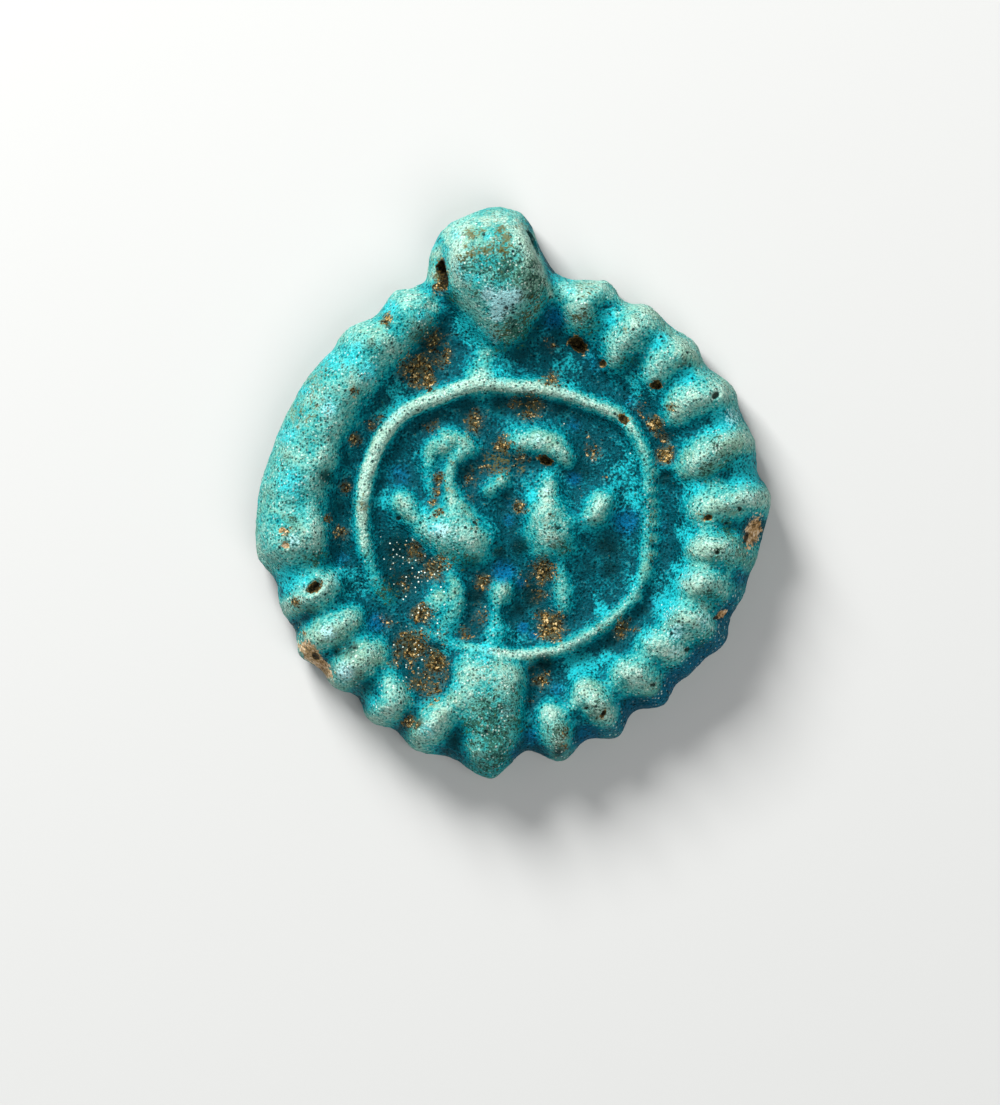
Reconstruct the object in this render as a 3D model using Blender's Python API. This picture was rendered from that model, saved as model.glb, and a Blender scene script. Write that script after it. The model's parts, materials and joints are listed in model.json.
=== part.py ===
"""A moulded faience pendant: a fluted disc with a raised ring, two facing figures, a knob and a lug.

It lies on its flat back with its front up and its lug towards +Y, where the carrying bore crosses it.
The tables are in millimetres around the disc's centre. The finished mesh is in metres, with the
origin at the bottom centre of its box.
"""

import math

import bmesh
import bpy
import numpy as np

MM = 0.001

# Driving heights above the flat back, and the form of the edge
FLOOR_HEIGHT = 3.1
EDGE_HEIGHT = 1.5
# The rounding of the edge: angle, and how far in it reaches for each millimetre above the edge height
EDGE_SLOPE = (
    (20.0, 0.55), (100.0, 0.45), (180.0, 0.55), (250.0, 0.60), (290.0, 0.65), (308.0, 1.00), (322.0, 1.00),
    (338.0, 0.75),
)
FOOT_STEPS = ((0.10, 0.6), (0.75, 0.0))  # how far in from the outline, at what height

# The rim's shelf: angle, rise, the radius where it starts and its width; the left side is worn to one slope
SHELF = (
    (10.0, 1.00, 10.8, 3.2), (30.0, 0.90, 10.9, 3.0), (60.0, 0.90, 10.6, 3.2), (76.0, 0.70, 11.2, 3.0),
    (85.0, 0.00, 12.0, 2.2), (103.0, 0.00, 12.0, 2.2), (112.0, 1.10, 12.0, 2.4), (122.0, 1.85, 11.2, 2.7),
    (145.0, 2.15, 10.6, 3.0), (168.0, 2.15, 10.9, 2.7), (184.0, 2.00, 11.2, 2.3), (192.0, 1.70, 11.4, 2.2),
    (200.0, 0.90, 11.4, 2.6), (225.0, 0.85, 11.2, 2.8), (255.0, 0.85, 12.0, 2.6), (280.0, 0.80, 11.4, 2.8),
    (300.0, 1.10, 10.8, 2.8), (320.0, 1.45, 10.6, 2.8), (345.0, 1.40, 10.6, 2.8),
)

# Each flute: the outline's angle, reach and dip after it, then the flute's line from its inner end to the
# outline, as rows of x, y, rise above the shelf and half width
FLUTES = (
    (3.0, 17.30, 0.45, (12.6, 0.3, 1.5, 1.30), (14.0, 0.5, 1.5, 1.05), (15.5, 0.8, 1.8, 0.85),
     (17.4, 0.8, 1.8, 0.85)),
    (16.0, 16.95, 0.28, (11.8, 2.9, 1.5, 1.05), (12.9, 3.7, 1.7, 1.15), (14.4, 4.6, 1.8, 0.95),
     (16.4, 4.9, 1.3, 0.90)),
    (29.5, 16.90, 0.48, (10.8, 6.5, 1.2, 0.90), (11.8, 7.4, 1.7, 1.05), (13.6, 7.9, 1.8, 1.05),
     (15.1, 8.4, 1.3, 1.00)),
    (42.5, 16.60, 0.28, (9.5, 9.1, 1.1, 0.90), (10.2, 10.1, 1.5, 1.05), (11.2, 10.8, 1.7, 1.20),
     (12.6, 11.4, 1.2, 1.20)),
    (55.5, 16.55, 0.62, (6.9, 10.1, 1.0, 0.80), (7.4, 11.3, 1.4, 1.00), (8.4, 12.3, 1.7, 1.30),
     (9.7, 13.7, 1.2, 1.20)),
    (68.0, 16.60, 0.64, (4.6, 12.9, 1.1, 0.95), (4.7, 14.0, 1.7, 1.20), (5.4, 14.8, 1.5, 1.05),
     (6.3, 15.6, 1.2, 0.90)),
    (117.5, 16.55, 0.45, (-6.1, 12.2, 0.7, 1.00), (-6.7, 13.4, 0.9, 1.10), (-7.7, 14.7, 0.9, 1.00)),
    (130.5, 16.25, 0.20, (-8.5, 11.2, 0.6, 1.00), (-9.6, 12.0, 0.8, 1.20), (-10.6, 12.6, 0.7, 1.10)),
    (146.0, 16.30, 0.05, (-10.6, 8.6, 0.5, 1.30), (-12.0, 8.4, 0.5, 1.60), (-13.4, 9.2, 0.4, 1.60)),
    (161.5, 16.35, 0.05, (-12.0, 5.8, 0.5, 1.30), (-13.4, 5.4, 0.5, 1.60), (-15.4, 5.2, 0.4, 1.60)),
    (175.5, 16.80, 0.00, (-12.1, 3.6, 0.8, 0.90), (-13.4, 2.9, 0.6, 1.30), (-15.4, 2.0, 0.5, 1.50)),
    (189.0, 17.10, 0.50, (-13.2, -1.6, 0.8, 1.10), (-14.6, -2.0, 1.0, 1.20), (-16.8, -2.6, 1.2, 1.20)),
    (203.0, 16.65, 0.42, (-12.1, -4.8, 1.6, 0.95), (-12.9, -5.4, 1.8, 1.15), (-14.2, -6.1, 1.6, 0.85),
     (-15.6, -6.8, 1.2, 0.80)),
    (214.5, 17.00, 0.25, (-10.7, -7.1, 1.5, 0.95), (-11.8, -7.8, 1.7, 1.15), (-12.9, -8.3, 1.8, 1.10),
     (-14.2, -9.7, 1.3, 1.00)),
    (224.0, 16.70, 0.70, (-9.3, -9.4, 1.4, 1.05), (-10.6, -10.3, 1.8, 1.15), (-11.6, -11.1, 1.6, 0.95),
     (-12.3, -11.9, 1.4, 0.90)),
    (236.5, 16.90, 0.55, (-8.0, -11.6, 1.1, 0.85), (-7.8, -12.6, 1.5, 0.95), (-8.4, -13.4, 1.6, 0.90),
     (-9.5, -14.3, 1.3, 0.90)),
    (248.5, 17.25, 0.60, (-4.6, -13.4, 1.3, 1.05), (-5.5, -14.5, 1.6, 1.05), (-6.5, -16.1, 1.6, 1.00)),
    (265.0, 17.85, 1.30, (-1.4, -15.6, 1.2, 1.35), (-1.5, -18.0, 1.2, 1.35)),
    (281.5, 17.05, 0.70, (2.6, -13.3, 1.3, 0.85), (2.9, -14.6, 1.6, 0.90), (3.3, -15.7, 1.8, 0.90),
     (3.6, -17.2, 1.6, 0.90)),
    (295.0, 16.60, 0.85, (4.8, -11.6, 1.3, 0.80), (5.5, -12.7, 1.8, 0.95), (6.3, -13.6, 1.8, 0.90),
     (7.1, -15.2, 1.5, 0.85)),
    (308.5, 16.45, 0.35, (7.8, -10.8, 1.5, 1.10), (8.7, -11.2, 1.8, 1.15), (9.5, -11.7, 1.3, 0.95),
     (10.3, -13.0, 0.5, 0.80)),
    (318.5, 16.20, 0.15, (9.5, -8.9, 1.5, 1.05), (10.5, -9.2, 1.8, 1.10), (11.4, -9.7, 1.4, 0.95),
     (12.1, -10.9, 0.5, 0.90)),
    (328.5, 16.70, 0.35, (11.1, -7.2, 1.5, 1.05), (12.2, -7.4, 1.8, 1.20), (13.4, -7.9, 1.5, 1.10),
     (14.3, -8.8, 0.9, 1.00)),
    (339.0, 16.50, 0.18, (12.2, -4.8, 1.7, 1.10), (13.2, -4.9, 1.8, 1.05), (14.5, -5.3, 1.0, 0.90),
     (15.6, -5.9, 0.8, 0.80)),
    (349.0, 16.70, 0.15, (12.6, -2.5, 1.6, 1.05), (13.8, -2.5, 1.7, 1.00), (15.0, -2.9, 1.2, 0.90),
     (16.5, -3.2, 0.9, 0.90)),
)
FLUTE_SPREAD = 26.0
FLUTE_FULLNESS = 2.1

# The outline around the lug: angle and reach, from the flute on its right to the flute on its left
LUG_EDGE = (
    (68.0, 16.60), (72.0, 16.25), (76.0, 15.98), (80.0, 16.30), (84.0, 17.85), (86.5, 19.35), (92.0, 20.27),
    (98.0, 19.90), (102.0, 19.53), (105.0, 18.90), (107.6, 17.85), (110.0, 16.55), (113.0, 16.30),
    (117.5, 16.55),
)

# The ring's crest, as angle and radius
RING_CREST = (
    (6.0, 9.15), (24.0, 9.70), (39.0, 9.65), (55.0, 8.80), (73.0, 8.40), (90.0, 8.25), (105.5, 8.65),
    (122.5, 8.90), (140.0, 9.65), (158.0, 9.80), (177.0, 9.85), (193.0, 9.95), (210.0, 10.05),
    (224.5, 10.10), (241.5, 9.65), (258.0, 9.40), (277.0, 9.55), (291.5, 9.70), (308.0, 9.70),
    (323.5, 9.90), (334.0, 9.85), (347.5, 9.30),
)
# Its rise and its half width outside the crest, at an angle; it is all but worn away at the lower left
RING_RISE = (
    (10.0, 0.85), (45.0, 1.05), (75.0, 1.20), (105.0, 1.25), (140.0, 1.30), (180.0, 1.15), (206.0, 0.75),
    (224.0, 0.25), (242.0, 0.75), (268.0, 1.05), (300.0, 1.00), (330.0, 0.90), (350.0, 0.80),
)
RING_OUTER_HALF = (
    (10.0, 0.50), (45.0, 0.65), (75.0, 0.75), (105.0, 0.80), (140.0, 0.80), (180.0, 0.75), (224.0, 0.75),
    (268.0, 0.70), (300.0, 0.62), (330.0, 0.50), (350.0, 0.45),
)
RING_INNER_HALF = 0.52

# Strokes of the relief: rows of x, y, rise above the floor and half width
STROKES = {
    "left head": ((-5.0, 4.3, 0.9, 0.80), (-4.2, 4.7, 1.2, 0.85), (-3.1, 4.5, 1.1, 0.70)),
    "left neck": ((-2.6, 4.1, 0.9, 0.50), (-3.7, 3.5, 1.2, 0.48), (-4.15, 2.2, 1.2, 0.50),
                  (-3.9, 0.9, 1.3, 0.75), (-3.6, -0.2, 1.4, 1.10)),
    "left mane": ((-5.4, 4.0, 0.8, 0.60), (-5.5, 2.4, 0.8, 0.50), (-5.3, 0.8, 0.8, 0.55),
                  (-5.0, -0.2, 0.8, 0.60)),
    "left arm": ((-7.2, 0.6, 1.4, 0.85), (-6.7, 0.0, 1.4, 0.85), (-6.0, -0.8, 1.2, 0.80),
                 (-5.4, -1.1, 1.5, 1.00)),
    "left body": ((-4.9, -1.2, 1.7, 1.50), (-3.8, -1.6, 2.0, 1.75), (-2.7, -1.9, 1.8, 1.45)),
    "left leg": ((-4.5, -3.7, 0.8, 0.70), (-3.9, -4.7, 1.0, 0.65), (-3.7, -5.9, 1.1, 0.65),
                 (-4.0, -7.0, 1.0, 0.70), (-4.7, -7.8, 0.7, 0.80)),
    "left haunch": ((-5.0, -4.8, 0.6, 0.90), (-5.1, -6.2, 0.8, 1.00)),
    "right head": ((0.5, 4.7, 1.1, 0.90), (1.6, 4.7, 1.4, 0.90), (2.7, 4.35, 1.4, 0.90),
                   (3.5, 3.6, 1.3, 0.75)),
    "right neck": ((2.5, 2.6, 0.9, 0.65), (2.4, 1.4, 1.3, 0.70), (2.4, 0.0, 1.7, 1.00)),
    "right breast": ((1.5, 2.3, 0.6, 0.70), (1.4, 0.8, 0.8, 0.80), (1.7, -0.4, 0.9, 0.85)),
    "right body": ((2.5, -0.6, 1.8, 1.40), (2.6, -1.5, 2.0, 1.50)),
    "right arm": ((3.8, -0.7, 0.9, 0.60), (4.6, -0.5, 0.9, 0.60), (5.5, -0.1, 1.4, 0.90),
                  (6.0, 0.6, 1.4, 0.80)),
    "fruit": ((-1.5, 1.4, 1.0, 0.65), (-0.6, 2.1, 0.8, 0.60)),
    "right leg": ((3.2, -3.8, 0.6, 0.55), (3.4, -5.2, 0.9, 0.60), (3.5, -6.3, 0.7, 0.55)),
    "stem": ((-0.6, -5.3, 1.3, 0.80), (-0.95, -6.4, 0.8, 0.50), (-1.0, -7.4, 0.9, 0.55),
             (-1.2, -8.8, 1.1, 1.00)),
    "spur": ((-1.9, 8.5, 1.0, 1.10), (-2.3, 9.6, 0.6, 0.90)),
    "bump": ((10.1, 3.0, 0.6, 0.40), (10.7, 3.0, 0.6, 0.40)),
    "knob arm": ((-3.2, -12.2, 1.8, 1.10), (-4.4, -13.4, 2.0, 1.00), (-5.4, -14.6, 1.8, 0.90)),
    "rim lip": ((3.4, 14.9, 1.3, 0.7), (6.0, 14.8, 1.7, 0.8), (8.8, 13.1, 1.8, 0.8), (11.8, 10.7, 1.8, 0.8),
                (14.1, 8.0, 1.8, 0.8), (15.7, 4.8, 1.3, 0.7)),
    "left lip": ((-7.8, 14.2, 1.4, 0.7), (-5.8, 14.6, 1.2, 0.7)),
    "split flute": ((4.7, -11.9, 1.4, 0.7), (4.1, -13.0, 1.6, 0.6), (3.8, -13.7, 1.0, 0.6)),
}
STROKE_FULLNESS = 2.1
STROKE_STEP = 0.2  # how far apart the ridge's samples are
NARROWEST_HALF = 0.6  # the mesh carries no thinner ridge
STROKE_BLEND = 10.0

# Hollows pressed into the floor: x, y, depth and radius
HOLLOWS = ((-6.4, -3.7, 0.45, 2.2), (1.3, -5.6, 0.45, 1.9), (-0.9, 0.2, 0.25, 1.2), (9.8, 0.0, 0.25, 1.4))

# Broad swellings as lofted rows: y, centre x, half width, height above the back, steepness of the flanks
LUG_BASE = (
    (21.0, -1.7, 3.2, 3.2, 4.6), (17.0, -1.7, 3.6, 3.2, 4.6), (15.0, -1.6, 3.9, 3.2, 4.6),
    (13.5, -1.4, 3.6, 3.2, 4.6),
)
LUG_BOSS = (
    (20.4, -1.4, 2.3, 6.0, 4.0), (19.0, -1.5, 2.6, 6.9, 5.0), (18.0, -1.4, 2.85, 7.3, 6.0),
    (17.0, -1.2, 3.1, 7.5, 7.0), (16.0, -1.05, 3.25, 7.5, 7.0), (15.0, -0.9, 3.25, 7.3, 5.0),
    (14.0, -0.8, 2.95, 6.8, 3.6), (13.0, -0.7, 2.4, 6.1, 2.8), (12.0, -0.65, 1.8, 5.2, 2.4),
    (11.0, -0.6, 1.3, 4.0, 2.2), (10.0, -0.6, 0.8, 3.1, 2.0),
)
KNOB = (
    (-8.6, -1.7, 1.6, 3.5, 3.0), (-9.6, -1.7, 2.1, 4.5, 3.0), (-10.8, -1.5, 2.3, 5.5, 3.8),
    (-12.0, -1.55, 2.4, 5.6, 4.0), (-13.5, -1.45, 2.3, 5.3, 4.0), (-15.0, -1.2, 1.95, 4.9, 4.0),
    (-16.4, -1.3, 1.6, 4.8, 3.4), (-18.2, -1.3, 1.3, 4.2, 3.0),
)

# The bore for the cord, through the lug from its left flank to its right one
BORE_LEFT = (-4.5, 15.8, 4.3)
BORE_RIGHT = (1.5, 17.9, 4.3)
BORE_DIAMETER = 1.8
BORE_OVERRUN = 0.35
BORE_SIDES = 20

# The mesh: squares from the middle to the edge, and how many of them lie inside the ring's crest
SQUARES = 31
SQUARES_IN_RING = 19
CROWDING = 0.22

GLAZE_COLOUR = (0.10, 0.42, 0.43, 1.0)


def ease(share):
    """A smooth step from 0 to 1."""
    share = np.clip(share, 0.0, 1.0)
    return share * share * (3.0 - 2.0 * share)


def through(knots, values, place):
    """Read a smooth curve that passes through the values at the knots."""
    knots, values = np.asarray(knots, float), np.asarray(values, float)
    slopes = np.gradient(values, knots)
    index = np.clip(np.searchsorted(knots, place) - 1, 0, len(knots) - 2)
    span = knots[index + 1] - knots[index]
    t = np.clip((place - knots[index]) / span, 0.0, 1.0)
    low = (1.0 - t) ** 2 * ((1.0 + 2.0 * t) * values[index] + t * span * slopes[index])
    high = t ** 2 * ((3.0 - 2.0 * t) * values[index + 1] - (1.0 - t) * span * slopes[index + 1])
    return low + high


def around(angle, table):
    """Read a closed curve through rows of angle and value."""
    angles, values = np.array(table).T
    angles = np.concatenate((angles[-2:] - 360.0, angles, angles[:2] + 360.0))
    values = np.concatenate((values[-2:], values, values[:2]))
    return through(angles, values, angle)


def outline(angle):
    """The disc's reach at an angle in degrees, scalloped by the flutes and drawn out at the lug."""
    angles, reaches, dips = np.array([row[:3] for row in FLUTES]).T
    before = np.searchsorted(angles, angle) - 1
    after = (before + 1) % len(angles)
    start = angles[before] - 360.0 * (before < 0)
    end = angles[after] + 360.0 * (after < before)
    share = (angle - start) / (end - start)
    crests = reaches[before] + (reaches[after] - reaches[before]) * ease(share)
    scalloped = crests - dips[before] * (1.0 - np.cos(2.0 * np.pi * share)) / 2.0
    lug_angles, lug_reaches = np.array(LUG_EDGE).T
    in_lug = (angle > lug_angles[0]) & (angle < lug_angles[-1])
    return np.where(in_lug, through(lug_angles, lug_reaches, angle), scalloped)


def ridge(x, y, rows, fullness):
    """A rounded ridge along a smooth curve through rows of x, y, rise and half width."""
    rows = np.array(rows, float)
    steps = np.hypot(*np.diff(rows[:, :2], axis=0).T)
    knots = np.concatenate(((0.0,), np.cumsum(steps)))
    places = np.linspace(0.0, knots[-1], 2 + int(knots[-1] / STROKE_STEP))
    share = (places[1] - places[0]) / (2.0 * math.gamma(1.0 + 1.0 / fullness))
    share *= (0.7 * STROKE_BLEND) ** (1.0 / fullness)
    blended = np.zeros_like(x)
    for centre_x, centre_y, rise, half in zip(*(through(knots, column, places) for column in rows.T)):
        half = max(half, NARROWEST_HALF)
        away = np.hypot(x - centre_x, y - centre_y) / half
        blended += share / half * (rise * np.exp(-0.7 * away ** fullness)) ** STROKE_BLEND
    return blended ** (1.0 / STROKE_BLEND)


def swelling(x, y, rows):
    """A broad swelling lofted through rows of y, centre x, half width, height and steepness."""
    rows = np.array(sorted(rows), float)
    place = np.clip(y, rows[0, 0], rows[-1, 0])
    centre, half, top, steepness = (through(rows[:, 0], column, place) for column in rows.T[1:])
    away = np.hypot(x - centre, y - place) / half
    return np.maximum(top - FLOOR_HEIGHT, 0.0) * np.exp(-0.75 * away ** steepness)


def together(heights, sharpness=3.0):
    """Melt overlapping forms into each other, the higher one leading."""
    return sum(height ** sharpness for height in heights) ** (1.0 / sharpness)


def rim(x, y, angle, radius):
    """The shelf along the edge with its flutes."""
    angles, *columns = np.array(SHELF).T
    rise, start, width = (around(angle, np.stack((angles, column), axis=1)) for column in columns)
    shelf = np.maximum(rise, 0.0) * ease((radius - start) / width)
    flutes = []
    for flute_angle, _, _, *line in FLUTES:
        near = np.abs((angle - flute_angle + 180.0) % 360.0 - 180.0) < FLUTE_SPREAD
        flute = np.zeros_like(x)
        flute[near] = ridge(x[near], y[near], line, FLUTE_FULLNESS)
        flutes.append(flute)
    return shelf + together(flutes)


def raised_ring(angle, radius):
    """The ring around the figures."""
    away = radius - around(angle, RING_CREST)
    half = np.where(away < 0.0, RING_INNER_HALF, around(angle, RING_OUTER_HALF))
    return around(angle, RING_RISE) * np.exp(-0.7 * np.abs(away / half) ** 2.2)


def front_height(x, y):
    """Height of the front above the flat back."""
    angle = np.degrees(np.arctan2(y, x)) % 360.0
    radius = np.hypot(x, y)
    forms = [rim(x, y, angle, radius), raised_ring(angle, radius)]
    forms += [ridge(x, y, rows, STROKE_FULLNESS) for rows in STROKES.values()]
    forms += [swelling(x, y, rows) for rows in (LUG_BASE, LUG_BOSS, KNOB)]
    height = FLOOR_HEIGHT + together(forms)
    for hollow_x, hollow_y, depth, reach in HOLLOWS:
        height -= depth * np.exp(-((x - hollow_x) ** 2 + (y - hollow_y) ** 2) / reach ** 2)
    above_edge = height - EDGE_HEIGHT
    inward = np.clip((outline(angle) - radius) / (around(angle, EDGE_SLOPE) * above_edge), 0.0, 1.0)
    return EDGE_HEIGHT + above_edge * np.sqrt(1.0 - (1.0 - inward) ** 2)


def spread_squares(x, y):
    """Turn a square grid from -1 to 1 into rings that follow the raised ring and the outline."""
    ring = np.maximum(np.abs(x), np.abs(y))
    steep = np.abs(y) > np.abs(x)
    long, short = np.where(steep, y, x), np.where(steep, x, y)
    slope = short / np.where(long == 0.0, 1.0, long)
    angle = (np.where(steep, 90.0 - 45.0 * slope, 45.0 * slope) + 180.0 * (long < 0.0)) % 360.0
    crest = around(angle, RING_CREST)
    share = SQUARES_IN_RING / SQUARES
    inside = np.clip(ring / share, 0.0, 1.0)
    outside = np.clip((ring - share) / (1.0 - share), 0.0, 1.0)
    inside = inside + CROWDING * np.sin(np.pi * inside) / np.pi
    outside = outside - CROWDING * np.sin(np.pi * outside) / np.pi
    radius = crest * inside + (outline(angle) - crest) * outside
    return radius * np.cos(np.radians(angle)), radius * np.sin(np.radians(angle))


def place(verts, x, y, z):
    """Set the vertices' places, given in millimetres."""
    for vert, *point in zip(verts, x, y, z):
        vert.co = [value * MM for value in point]


def draw_in(mesh, loop, amount, height):
    """Extrude the edge loop and move the new one inwards, to a height above the back."""
    made = bmesh.ops.extrude_edge_only(mesh, edges=loop)["geom"]
    verts = [item for item in made if isinstance(item, bmesh.types.BMVert)]
    x, y = np.array([vert.co.xy[:] for vert in verts]).T / MM
    radius = np.hypot(x, y)
    share = (radius - amount) / radius
    place(verts, x * share, y * share, np.full(len(verts), height))
    return [item for item in made if isinstance(item, bmesh.types.BMEdge)]


def pendant_mesh():
    """The whole body: front, edge and flat back."""
    mesh = bmesh.new()
    bmesh.ops.create_grid(mesh, x_segments=2 * SQUARES, y_segments=2 * SQUARES, size=1.0)
    verts = list(mesh.verts)
    x, y = spread_squares(*np.array([vert.co.xy[:] for vert in verts]).T)
    place(verts, x, y, front_height(x, y))
    loop = [edge for edge in mesh.edges if edge.is_boundary]
    for amount, height in FOOT_STEPS:
        loop = draw_in(mesh, loop, amount, height)
    back = bmesh.ops.contextual_create(mesh, geom=loop)["faces"]
    bmesh.ops.poke(mesh, faces=back)
    bmesh.ops.triangulate(mesh, faces=mesh.faces)
    bmesh.ops.recalc_face_normals(mesh, faces=mesh.faces)
    return mesh


def glaze():
    """The turquoise glaze all over the body."""
    material = bpy.data.materials.new("turquoise_glaze")
    material.use_nodes = True
    shader = material.node_tree.nodes["Principled BSDF"]
    shader.inputs["Base Color"].default_value = GLAZE_COLOUR
    shader.inputs["Roughness"].default_value = 0.55
    shader.inputs["Metallic"].default_value = 0.0
    material.diffuse_color = GLAZE_COLOUR
    return material


def main():
    """Build the pendant, bored through its lug, and set its origin at the bottom centre."""
    for item in list(bpy.data.objects):
        bpy.data.objects.remove(item)
    parts = bpy.data.collections.new("pottery_pendant")
    cutters = bpy.data.collections.new("cutters")
    for collection in (parts, cutters):
        bpy.context.scene.collection.children.link(collection)

    body = pendant_mesh()
    corners = np.array([vert.co for vert in body.verts])
    centre = (corners.min(axis=0) + corners.max(axis=0)) / 2.0
    shift = np.array((-centre[0], -centre[1], 0.0))
    bmesh.ops.translate(body, verts=body.verts, vec=shift)
    data = bpy.data.meshes.new("pendant")
    body.to_mesh(data)
    body.free()
    data.materials.append(glaze())
    data.shade_smooth()
    pendant = bpy.data.objects.new("pendant", data)
    parts.objects.link(pendant)

    left, right = (np.array(point) * MM + shift for point in (BORE_LEFT, BORE_RIGHT))
    bore_length = np.linalg.norm(right - left) + 2.0 * BORE_OVERRUN * MM
    cutter = bmesh.new()
    bmesh.ops.create_cone(cutter, cap_ends=True, segments=BORE_SIDES, depth=bore_length,
                          radius1=BORE_DIAMETER / 2.0 * MM, radius2=BORE_DIAMETER / 2.0 * MM)
    data = bpy.data.meshes.new("bore")
    cutter.to_mesh(data)
    cutter.free()
    bore = bpy.data.objects.new("bore", data)
    bore.location = (left + right) / 2.0
    bore.rotation_euler = (0.0, math.pi / 2.0, math.atan2(right[1] - left[1], right[0] - left[0]))
    bore.hide_render = True
    bore.display_type = "WIRE"
    cutters.objects.link(bore)

    cut = pendant.modifiers.new("bore", "BOOLEAN")
    cut.operation = "DIFFERENCE"
    cut.solver = "EXACT"
    cut.object = bore


main()
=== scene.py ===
# %% [markdown]
# # A moulded faience pendant
# The real pendant is one piece of faience: a paste of crushed quartz, pressed into a clay mould, bored
# through its lug while damp, and fired until a turquoise glaze came out on its skin. Its front carries a
# ring around two facing figures, with a fluted rim outside it, a knob at the foot and the lug at the head.
# The imported solid gives the size and the place. This file makes the same form finer, wears and soils it,
# and glazes it.

# %% The imported solid, and its box
import json
import math

import bmesh
import bpy
import numpy as np
from mathutils import Matrix, Vector

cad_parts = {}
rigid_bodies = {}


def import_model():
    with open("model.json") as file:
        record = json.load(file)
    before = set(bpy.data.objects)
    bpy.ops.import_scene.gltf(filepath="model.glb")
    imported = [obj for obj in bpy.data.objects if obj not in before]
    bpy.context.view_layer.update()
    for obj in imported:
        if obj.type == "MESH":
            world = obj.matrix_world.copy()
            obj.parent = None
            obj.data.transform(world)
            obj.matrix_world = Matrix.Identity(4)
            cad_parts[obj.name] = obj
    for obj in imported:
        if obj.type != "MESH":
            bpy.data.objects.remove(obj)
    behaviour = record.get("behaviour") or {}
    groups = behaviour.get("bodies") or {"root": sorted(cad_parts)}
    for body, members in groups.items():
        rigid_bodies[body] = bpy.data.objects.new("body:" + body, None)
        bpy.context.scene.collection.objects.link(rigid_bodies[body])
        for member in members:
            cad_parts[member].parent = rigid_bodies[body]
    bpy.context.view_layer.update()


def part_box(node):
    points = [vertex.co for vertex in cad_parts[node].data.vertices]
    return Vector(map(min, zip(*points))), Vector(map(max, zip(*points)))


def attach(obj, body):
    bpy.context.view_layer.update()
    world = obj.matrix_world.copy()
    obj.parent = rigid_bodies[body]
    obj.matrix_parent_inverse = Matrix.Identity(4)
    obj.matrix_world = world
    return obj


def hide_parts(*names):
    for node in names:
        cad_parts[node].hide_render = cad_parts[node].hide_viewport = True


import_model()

MM = 0.001
NODE = "pendant"
solid_low, solid_high = (np.array(corner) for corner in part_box(NODE))
print("solid, mm:", np.round((solid_high - solid_low) / MM, 2))

# %% [markdown]
# ## Smooth curves through a few places
# A mould is cut by hand, so its lines are smooth but never regular. Each line is given by a few places,
# and a cubic curve runs through them. The same curves could be Bézier objects, but the height of the
# front is needed at every place of the surface, and plain functions give that directly.

# %% Curves
def ease(share):
    """A smooth step from 0 to 1."""
    share = np.clip(share, 0.0, 1.0)
    return share * share * (3.0 - 2.0 * share)


def through(knots, values, place):
    """Read a smooth curve that passes through the values at the knots."""
    knots, values = np.asarray(knots, float), np.asarray(values, float)
    slopes = np.gradient(values, knots)
    index = np.clip(np.searchsorted(knots, place) - 1, 0, len(knots) - 2)
    span = knots[index + 1] - knots[index]
    t = np.clip((place - knots[index]) / span, 0.0, 1.0)
    low = (1.0 - t) ** 2 * ((1.0 + 2.0 * t) * values[index] + t * span * slopes[index])
    high = t ** 2 * ((3.0 - 2.0 * t) * values[index + 1] - (1.0 - t) * span * slopes[index + 1])
    return low + high


def around(angle, angles, values):
    """Read a closed curve of values at angles in degrees."""
    angles, values = np.asarray(angles, float), np.asarray(values, float)
    angles = np.concatenate((angles[-2:] - 360.0, angles, angles[:2] + 360.0))
    return through(angles, np.concatenate((values[-2:], values, values[:2])), angle)


def polar(angle, radius):
    """The place at an angle in degrees and a radius."""
    return radius * math.cos(math.radians(angle)), radius * math.sin(math.radians(angle))


print("halfway up an ease:", ease(0.5))

# %% [markdown]
# ## The rim and its flutes
# All round the edge runs a shelf, and across it lie soft flutes, pressed by hand, so no two are alike.
# Their outer ends scallop the outline. On the upper left the flutes are worn to one smooth slope. A
# flute could be one curve object repeated with an array, but then all would be equal: a table keeps each
# one's own place, lean and height.

# %% Tables of the rim, in millimetres and degrees around the disc's centre
# angle, rise, the radius where the shelf starts, its width
SHELF = (
    (10, 1, 10.8, 3.2), (30, 0.9, 10.9, 3), (60, 0.9, 10.6, 3.2), (76, 0.7, 11.2, 3), (85, 0, 12, 2.2),
    (103, 0, 12, 2.2), (112, 1.1, 12, 2.4), (122, 1.85, 11.2, 2.7), (145, 2.15, 10.6, 3),
    (168, 2.15, 10.9, 2.7), (184, 2, 11.2, 2.3), (192, 1.7, 11.4, 2.2), (200, 0.9, 11.4, 2.6),
    (225, 0.85, 11.2, 2.8), (255, 0.85, 12, 2.6), (280, 0.8, 11.4, 2.8), (300, 1.1, 10.8, 2.8),
    (320, 1.45, 10.6, 2.8), (345, 1.4, 10.6, 2.8),
)
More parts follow.
